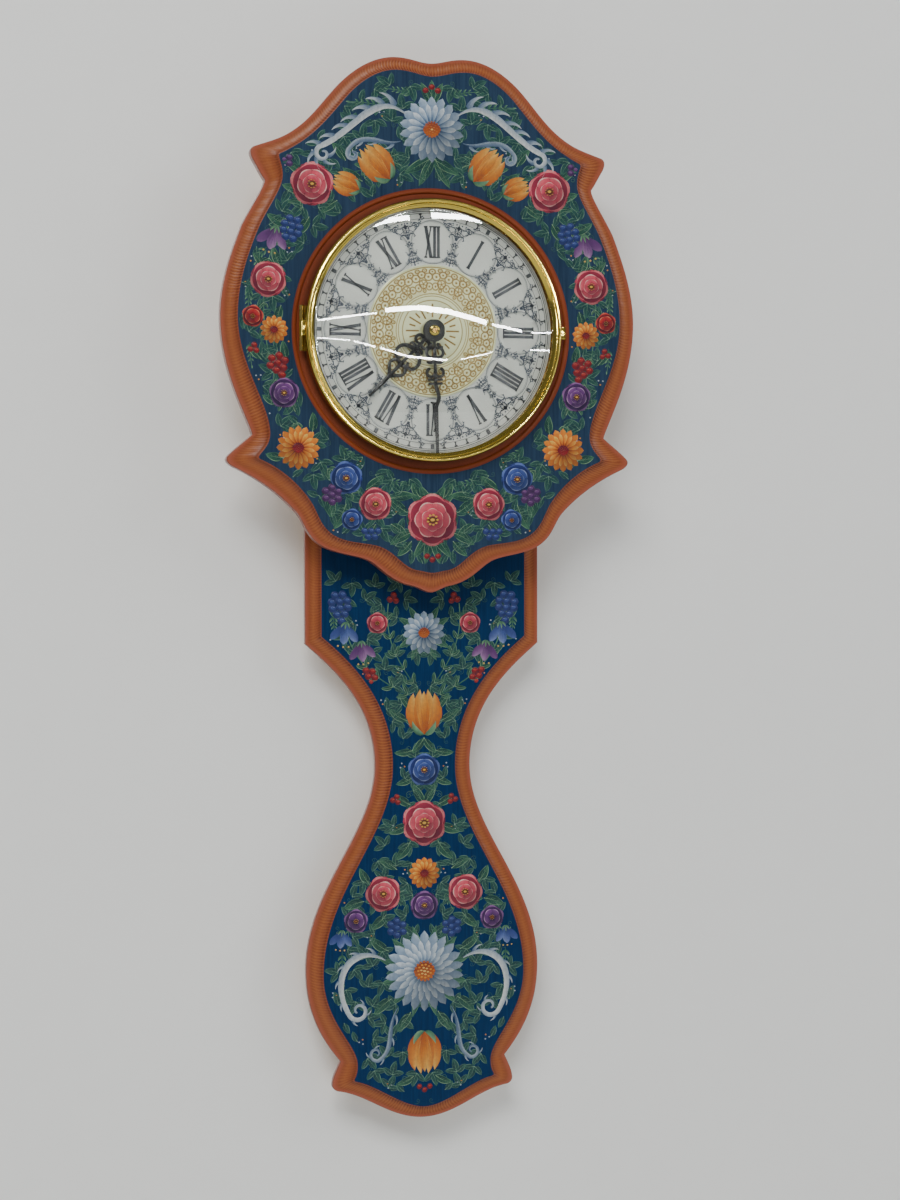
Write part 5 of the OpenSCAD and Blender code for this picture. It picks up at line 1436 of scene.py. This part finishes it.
def paintHead():
    ground, half, sheet = [], [], []
    greenery(ground, (7, -166), (138, 178), 14.5, 11.5)
    # vines that run round both sides, drawn first
    ring = np.vstack([bezier((26, 116), (70, 112), (100, 92), (112, 62), 30),
                      bezier((112, 62), (122, 36), (124, 2), (112, -36), 30),
                      bezier((112, -36), (104, -66), (84, -96), (36, -132), 30)])
    vine(half, ring, 0.45, [*stemTones, stemTones[0]], range(4, len(ring) - 3, 5), headVineLeaf)
    # scrolls of cream strokes along the top edge
    spine = bezier((16, 150), (40, 172), (56, 138), (79, 128), 26)
    scroll(half, spiralFrom(spine, -24, 5.6, -400), 6.2, 11, side=1, feather=17)
    lower = bezier((20, 134), (36, 126), (48, 142), (60, 126), 18)
    scroll(half, spiralFrom(lower, -60, 4.6, -380), 4.6, 7, side=-1, feather=9)
    for at, heading, length, width, bend in (
            ((22, 116), 20, 22, 9, 25), ((24, 124), -18, 18, 8, -20), ((50, 104), 24, 17, 8, 20),
            ((62, 118), 62, 16, 7, -25), ((88, 106), 36, 19, 8, -20), ((92, 96), 4, 18, 8, 20),
            ((68, 90), -30, 15, 7, -20), ((88, 78), -62, 18, 8, 22), ((104, 70), 18, 17, 8, 20),
            ((108, 42), 60, 16, 7, 20), ((126, 42), 60, 13, 6, -20), ((108, 16), -70, 16, 7, -20),
            ((126, 16), -60, 14, 6, 25), ((104, -22), 70, 14, 7, 20), ((122, -22), 50, 13, 6, -20),
            ((98, -58), 60, 15, 7, 25), ((112, -54), 20, 12, 6, 20), ((84, -72), 100, 14, 7, -20),
            ((110, -92), 0, 13, 7, 25), ((86, -104), -60, 22, 11, 20), ((98, -102), -30, 14, 8, -20),
            ((72, -98), -110, 14, 8, 20), ((78, -112), -115, 22, 11, 20), ((62, -122), -70, 20, 10, 15),
            ((48, -112), 150, 17, 8, -20), ((40, -138), -60, 15, 8, 20), ((30, -118), 165, 18, 8, 20),
            ((30, -136), -150, 16, 7, 20), ((18, -128), 30, 20, 8, 20), ((15, -142), -20, 18, 8, -20),
            ((15, -150), -50, 15, 7, 10), ((9, -117), 50, 12, 6, 30)):
        leaf(half, at, heading, length, width, bend)
    for at, heading, length, bend, count, size in (
            ((104, 108), 60, 14, 30, 3, 5), ((70, 134), 60, 18, -30, 4, 5.5),
            ((40, 160), 12, 24, -14, 5, 5.5), ((14, 166), 20, 18, -20, 4, 5),
            ((118, 56), -40, 13, -30, 3, 5), ((130, 28), -82, 18, -10, 4, 5),
            ((104, 2), 100, 14, -20, 3, 4.5), ((130, -10), -88, 16, -14, 4, 4.5),
            ((98, -40), -96, 14, 20, 3, 4.5), ((66, -84), -160, 13, 20, 3, 4.5),
            ((74, -132), -70, 13, 20, 3, 4.5), ((56, -146), -176, 15, 10, 3, 4.5),
            ((108, -98), -140, 12, 20, 3, 4.5), ((32, -106), -176, 14, 14, 3, 4.5),
            ((26, -150), -60, 11, 20, 3, 4)):
        sprig(half, at, heading, length, bend, count, size)
    for at, heading, length, turn in (
            ((100, 112), 10, 13, -430), ((58, 150), 60, 12, 420), ((124, 60), -60, 12, 400),
            ((133, 6), -90, 11, -420), ((122, -44), -120, 11, 400), ((104, -100), -70, 10, -400),
            ((58, -138), -130, 11, -400), ((16, 112), -8, 10, 380)):
        tendril(half, at, heading, length, turn)
    berries(half, bunch((102, 119), (1, 2, 1), 4.6, -60), 2.5, "plum")
    berries(half, bunch((99, 76), (2, 3, 3, 2), 5.4, -76), 3.0, "blue")
    berries(half, bunch((112, -20), (2, 3, 2, 1), 5.4, -110), 2.9, "red")
    berries(half, bunch((127, -12), (1, 2), 4.2, -80), 2.2, "red")
    berries(half, bunch((70, -112), (2, 3, 2), 5.2, -60), 2.9, "plum")
    berries(half, bunch((44, -141), (3, 2), 4.8, -90), 2.6, "blue")
    bellflower(half, (113, 70), -74, 17, "plum")
    tulip(half, (30, 106), 48, 30)
    tulip(half, (52, 98), 22, 21)
    blossom(half, (86, 101), 15, "pink")
    blossom(half, (117, 34), 12.5, "pink", turn=60)
    blossom(half, (128, 8), 7.5, "red", turn=30, rings=2)
    daisy(half, (113, -1), 10, "orange", 13, heartTone="red")
    blossom(half, (106, -45), 10.5, "plum", turn=20)
    daisy(half, (96, -83), 15.5, "orange", 16, heartTone="red")
    blossom(half, (62, -104), 11.5, "blue", turn=80)
    blossom(half, (84, -122), 9, "pink", turn=40, rings=2)
    blossom(half, (41, -122), 11.5, "pink", turn=10)
    blossom(half, (58, -133), 7.5, "blue", turn=30, rings=2)
    trios(half, ((52, 124), (56, 128), (84, 124), (110, 96), (102, 54), (130, 48), (134, 30), (104, 24),
                 (101, -10), (124, -34), (118, -60), (84, -92), (108, -76), (52, -94), (92, -136),
                 (28, -128), (70, -142), (31, -158), (36, 152), (78, 144), (24, 104)), 1.9, 0.62)
    # pieces on the axis
    for heading in (62, 90, 118):
        leaf(sheet, (0, 160), heading, 17, 7, 0)
    for heading in (-150, -118, -62, -30):
        leaf(sheet, (0, 122), heading, 24, 8, 0)
    daisy(sheet, (0, 142), 23.5, "cream", 18)
    berries(sheet, [(0, 172), (-4.4, 169.5), (4.4, 169.5)], 2.3)
    for heading in (-128, -104, -76, -52):
        leaf(sheet, (0, -142), heading, 23, 8, 0)
    for heading in (35, 62, 118, 145):
        leaf(sheet, (0, -126), heading, 20, 8, 0)
    blossom(sheet, (0, -133), 18.5, "pink", petals=6, rings=4)
    berries(sheet, [(0, -161), (-4, -158.6), (4, -158.6)], 2.2)
    paintBoard("head", ground, half, sheet, faceY, "clock_head", headBoard)


def paintPendulum():
    ground, half, sheet = [], [], []
    greenery(ground, (7, -552), (82, -172), 14.5, 10.5)
    upper = bezier((0, -262), (30, -250), (56, -236), (60, -196), 30)
    vine(half, upper, 0.5, stemTones, range(3, 28, 4), lambda k, s: (50, 9.5 - 0.1 * k, 3.8))
    inner = bezier((0, -262), (12, -240), (30, -226), (26, -192), 24)
    vine(half, inner, 0.45, stemTones, range(4, 23, 4), lambda k, s: (50, 8.5 - 0.1 * k, 3.4))
    for at, heading, length, width, bend in (
            ((12, -276), 20, 17, 7, 30), ((10, -268), 62, 15, 6, -20), ((10, -298), -20, 14, 6, 30),
            ((8, -316), -35, 14, 6, 30), ((10, -336), 24, 14, 7, 20), ((12, -350), -30, 16, 8, 20),
            ((10, -362), -60, 18, 8, 25), ((20, -382), 40, 16, 7, -30), ((40, -392), 50, 14, 7, 20),
            ((44, -404), -10, 16, 8, -20), ((28, -414), -50, 16, 8, 20), ((26, -440), 24, 18, 8, 30),
            ((24, -474), -30, 18, 8, -30), ((10, -484), -60, 18, 8, 20), ((8, -530), -40, 14, 6, 40)):
        leaf(half, at, heading, length, width, bend)
    for at, heading, length, bend, count, size in (
            ((66, -200), -90, 12, -10, 3, 5), ((44, -250), -60, 12, 30, 3, 4.5),
            ((20, -288), 60, 10, -40, 2, 4), ((52, -412), -70, 18, -20, 4, 5),
            ((60, -440), -88, 22, -10, 5, 5), ((34, -526), 8, 13, 30, 3, 4.5),
            ((16, -398), -80, 12, 20, 3, 4.5)):
        sprig(half, at, heading, length, bend, count, size)
    for at, heading, length, turn in (
            ((8, -300), 10, 17, 460), ((8, -326), 0, 15, -440), ((6, -256), 70, 15, -420),
            ((34, -238), -60, 12, 400), ((12, -536), 20, 16, 420), ((58, -500), -60, 13, -400)):
        tendril(half, at, heading, length, turn)
    berries(half, bunch((62, -186), (2, 3, 3, 2, 1), 5.6, -96), 3.1, "blue")
    berries(half, bunch((22, -186), (1, 2), 4.4, -80), 2.4, "red")
    bellflower(half, (61, -212), -84, 16, "blue")
    bellflower(half, (48, -222), -96, 15, "plum")
    bellflower(half, (66, -424), -84, 13, "blue")
    blossom(half, (34, -206), 7.5, "pink", rings=2)
    blossom(half, (58, -232), 6.5, "pink", turn=50, rings=2)
    berries(half, bunch((40, -240), (2, 3, 2), 4.8, -80), 2.6, "red")
    berries(half, bunch((20, -330), (1, 2), 4.0, -70), 2.1, "red")
    blossom(half, (30, -399), 12.5, "pink", turn=70)
    blossom(half, (50, -418), 8.5, "plum", turn=20, rings=2)
    berries(half, bunch((18, -420), (2, 3, 2), 5.2, -60), 2.8, "blue")
    arm = bezier((26, -448), (52, -430), (72, -458), (54, -486), 30)
    scroll(half, spiralFrom(arm, -140, 7.0, -400), 6.0, 8, side=1, feather=10)
    foot = bezier((18, -478), (30, -496), (20, -510), (34, -518), 20)
    scroll(half, spiralFrom(foot, 0, 5.0, 380), 4.2, 5, side=-1, feather=8)
    trios(half, ((18, -240), (50, -206), (70, -218), (30, -262), (16, -308), (22, -352), (14, -384),
                 (40, -430), (66, -470), (46, -504), (26, -536), (60, -404)), 1.8, 0.6)
    for heading in (-150, -115, -65, -30, 30, 60, 120, 150):
        leaf(sheet, (0, -213), heading, 22, 7, 0)
    daisy(sheet, (0, -213), 15.5, "cream", 15)
    tulip(sheet, (0, -286), 90, 33)
    leaf(sheet, (0, -288), -62, 15, 6, 30)
    leaf(sheet, (0, -288), -118, 15, 6, -30)
    blossom(sheet, (0, -311), 11.5, "blue", turn=90)
    for heading in (60, 120):
        leaf(sheet, (0, -336), heading, 18, 7, 0)
    blossom(sheet, (0, -349), 16, "pink", petals=6, turn=90)
    daisy(sheet, (0, -385), 11.5, "orange", 14, heartTone="red")
    blossom(sheet, (0, -408), 10, "plum", turn=90)
    for heading in range(0, 360, 30):
        leaf(sheet, (0, -455), heading + 15, 34, 9, 0)
    daisy(sheet, (0, -455), 29, "cream", 22, rings=3)
    tulip(sheet, (0, -498), -90, 31)
    berries(sheet, [(0, -540), (-3.8, -537.6), (3.8, -537.6)], 2.0)
    paintBoard("tail", ground, half, sheet, tailY, "pendulum", pendulumBoard)


paintHead()
paintPendulum()
print("stage: boards painted")


# Finishes of the CAD pieces whose shapes stay, and softened copies of the ones that show their edges

finishes = {
    steel: ["case_screws", "hanger_screws", "cover_screws", "strap_screws", "hanger_plate",
            "pendulum_strap", "battery_contact_positive", "battery_contact_negative", "motor_stator",
            "pendulum_pivot_pin"],
    felt: ["wall_pads"],
    panBrass: ["dial_pan", "pan_screws"],
    polishedBrass: ["hinge_pin", "glass_retainer", "fixing_nut", "third_wheel"],
    gearBrass: ["minute_arbor"],
    dialSilver: ["dial_plate"],
    greyPlastic: ["train_plate", "inner_plate"],
    rubber: ["rubber_washer"],
    laminate: ["circuit_board"],
    batteryWrap: ["battery"],
    magnetGrey: ["arm_magnet"],
    copper: ["motor_coil", "pendulum_coil"],
    whitePlastic: ["pendulum_arm", "hour_wheel", "minute_wheel"],
}
easedEdges = {      # radius, material, body, slot
    "case_side_left": (1.4, railWood, "clock_head", "bare_wood"),
    "case_side_right": (1.4, railWood, "clock_head", "bare_wood"),
    "case_top_rail": (1.4, crossWood, "clock_head", "bare_wood"),
    "movement_case": (0.5, blackPlastic, "clock_head", "black_moulding"),
    "movement_cover": (0.5, blackPlastic, "clock_head", "black_moulding"),
    "setting_knob": (0.3, blackPlastic, "minute_hand_set", "black_moulding")}
filledHands = {     # growth, body
    "minute_hand": (0.36, "minute_hand_set"),
    "hour_hand": (0.42, "hour_hand_set")}
for material, names in finishes.items():
    for name in names:
        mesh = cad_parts[name].data
        mesh.materials.clear()
        mesh.materials.append(material)
for name, (radius, material, body, slot) in easedEdges.items():
    softened(name, name + "_eased", radius, material, body, slot)
for name, (grow, body) in filledHands.items():
    thickened(name, name + "_filled", grow, handLacquer, body, "black_hand")
print("stage: CAD pieces finished")


# Floor and wall, lights and camera

stageLook = {"floorLevel": -0.80, "wallTop": 2.4, "wallY": 0.0015, "floorEnd": 0.02, "half": 3.0,
             "floor": (222, 223, 221), "wall": (237, 238, 237)}


def plainStage(name, corners, openBehind):
    material, tree, shader, place = newMaterial(name)
    colour = srgb(*stageLook[name])
    marks = useGroup(tree, blotch, Vector=place, Scale=3.0, Low=0.78, High=0.86)
    mixed = mixColour(tree, marks["Speck"], [c * 0.98 for c in colour], colour)
    dress(tree, shader, mixed, marks["Value"])
    if openBehind:      # seen from behind, the wall doesn't hide the clock or shade it
        facing = add(tree, "ShaderNodeNewGeometry").outputs["Backfacing"]
        shadow = add(tree, "ShaderNodeLightPath").outputs["Is Shadow Ray"]
        seenThrough(tree, shader, maths(tree, "MAXIMUM", facing, shadow), (1, 1, 1))
    mesh = bpy.data.meshes.new(name)
    mesh.from_pydata(corners, [], [(0, 1, 2, 3)])
    mesh.materials.append(material)
    inScene(name, mesh)


half, level, wallTop = stageLook["half"], stageLook["floorLevel"], stageLook["wallTop"]
wallY, floorEnd = stageLook["wallY"], stageLook["floorEnd"]
plainStage("floor", [(-half, -half, level), (half, -half, level), (half, floorEnd, level),
                     (-half, floorEnd, level)], False)
plainStage("wall", [(-half, wallY, level), (half, wallY, level), (half, wallY, wallTop),
                    (-half, wallY, wallTop)], True)


def shinesOn(lamp, label, names):
    group = bpy.data.collections.new(label)
    for name in names:
        group.objects.link(bpy.data.objects[name])
    lamp.light_linking.receiver_collection = group


def keptOff(lamp, label, name):
    group = bpy.data.collections.new(label + "Misses")
    group.objects.link(bpy.data.objects[name])
    group.collection_objects[0].light_linking.link_state = "EXCLUDE"
    lamp.light_linking.receiver_collection = group


def areaLamp(name, wide, high, watts):
    lamp = bpy.data.lights.new(name, "AREA")
    lamp.shape = "RECTANGLE"
    lamp.size, lamp.size_y = wide, high
    lamp.energy = watts
    return inScene(name, lamp)


clockMiddle = Vector((0.0, 0.0, -0.28))
softLamps = {       # place, width, height, watts, colour
    "bigSoft": ((-1.2, -2.4, 2.1), 2.2, 1.4, 104, (1.0, 0.985, 0.96)),
    "rightFill": ((2.8, -1.6, 1.2), 1.6, 1.6, 34, (0.96, 0.98, 1.0)),
    "backSoft": ((-0.7, 2.3, 0.5), 1.8, 1.8, 46, (1.0, 0.98, 0.95))}
for name, (place, wide, high, watts, colour) in softLamps.items():
    lamp = areaLamp(name, wide, high, watts)
    lamp.data.color = colour
    lamp.location = place
    lamp.rotation_euler = (clockMiddle - Vector(place)).to_track_quat("-Z", "Y").to_euler()
    keptOff(lamp, name, "bezel_ring_turned")        # the ring mirrors only the tubes and the room

room = {"colour": (0.72, 0.74, 0.76, 1), "strength": 0.26}
world = bpy.data.worlds.new("paleRoom")
bpy.context.scene.world = world
world.use_nodes = True
background = world.node_tree.nodes["Background"].inputs
background["Color"].default_value = room["colour"]
background["Strength"].default_value = room["strength"]

photoCamera = {"place": (-0.4552, -1.9418, -0.2772), "turn": (89.637, 0.091, -13.909), "lens": 82.657,
               "sensor": 36.0}
camera = bpy.data.cameras.new("photoCamera")
camera.lens = photoCamera["lens"]
camera.sensor_width = photoCamera["sensor"]
camera.sensor_fit = "AUTO"
camera.clip_start = 0.02
cameraTurn = Euler([math.radians(a) for a in photoCamera["turn"]])
holder = inScene("photoCamera", camera)
holder.location = photoCamera["place"]
holder.rotation_euler = cameraTurn
bpy.context.scene.camera = holder

# Ceiling tubes, placed where the photograph shows them mirrored in the glass. Rows of pixels of the
# photograph (x, y, thickness in pixels): each pair of neighbours is one tube.
mirroredTubes = {
    "upperRow": [[(307.5, 321.9, 1.2), (377.1, 312.8, 2.4)],
                 [(385.4, 310.3, 4.0), (416.1, 307.5, 5.6), (445.9, 311.1, 5.6), (486.6, 322.4, 4.6)],
                 [(492.4, 324.7, 3.0), (522.2, 331.4, 1.8)], [(531.3, 333.0, 1.4), (555.4, 333.0, 1.4)]],
    "lowerRow": [[(318.2, 337.7, 0.8), (349.8, 340.2, 1.3)], [(353.9, 341.0, 1.3), (375.5, 346.8, 1.4)],
                 [(380.4, 347.9, 1.4), (409.5, 356.7, 2.2), (446.8, 360.4, 2.0)],
                 [(460.9, 359.2, 1.3), (492.4, 352.6, 1.0)], [(530.5, 350.3, 1.3), (551.2, 350.3, 1.3)]],
    "nearPanels": [[(356.0, 229.0, 6.0), (382.0, 221.5, 6.5), (409.5, 217.4, 4.5)],
                   [(431.0, 215.6, 5.6), (458.0, 216.6, 6.6), (482.0, 221.0, 4.0)]],
}
tubeLook = {"reach": 2.6, "radiance": 190.0, "imageWide": 900, "imageHigh": 1200}
focal = photoCamera["lens"] / photoCamera["sensor"] * tubeLook["imageHigh"]        # in pixels
ball = ballRadius * mm


def mirroredSpot(x, y):
    right, up = x - tubeLook["imageWide"] / 2, tubeLook["imageHigh"] / 2 - y
    ray = cameraTurn.to_matrix() @ Vector((right / focal, up / focal, -1))
    ray.normalize()
    start = Vector(photoCamera["place"])
    middle = Vector((0, faceY - (bezel["seat"] + glass["rise"]) * mm + ball, dialZ))
    away = start - middle
    b = ray.dot(away)
    spot = start + ray * (-b - math.sqrt(b * b - away.length_squared + ball * ball))
    return spot, ray.reflect((spot - middle).normalized())


def tube(name, first, second):
    ends = []
    for x, y in (first[:2], second[:2]):
        spot, way = mirroredSpot(x, y)
        ends.append(spot + way * tubeLook["reach"])
    spot = mirroredSpot((first[0] + second[0]) / 2, (first[1] + second[1]) / 2)[0]
    run = ends[1] - ends[0]
    centre = (ends[0] + ends[1]) / 2
    back = (centre - spot).normalized()
    xAxis = run.normalized()
    yAxis = back.cross(xAxis).normalized()
    pixel = (spot - Vector(photoCamera["place"])).length / focal
    wide = (first[2] + second[2]) / 2 * pixel * (1 + 2 * tubeLook["reach"] / ball)
    lamp = areaLamp(name, run.length, wide, tubeLook["radiance"] * math.pi * run.length * wide)
    lamp.matrix_world = Matrix((xAxis, yAxis, back)).transposed().to_4x4()
    lamp.location = centre
    lamp.visible_camera = False
    return lamp


for row, runs in mirroredTubes.items():
    for k, run in enumerate(runs):
        for i in range(len(run) - 1):
            name = f"{row}{k}{i}"
            shinesOn(tube(name, run[i], run[i + 1]), name, ["bezel_glass_domed", "bezel_ring_turned"])
print("stage: lights and camera set")
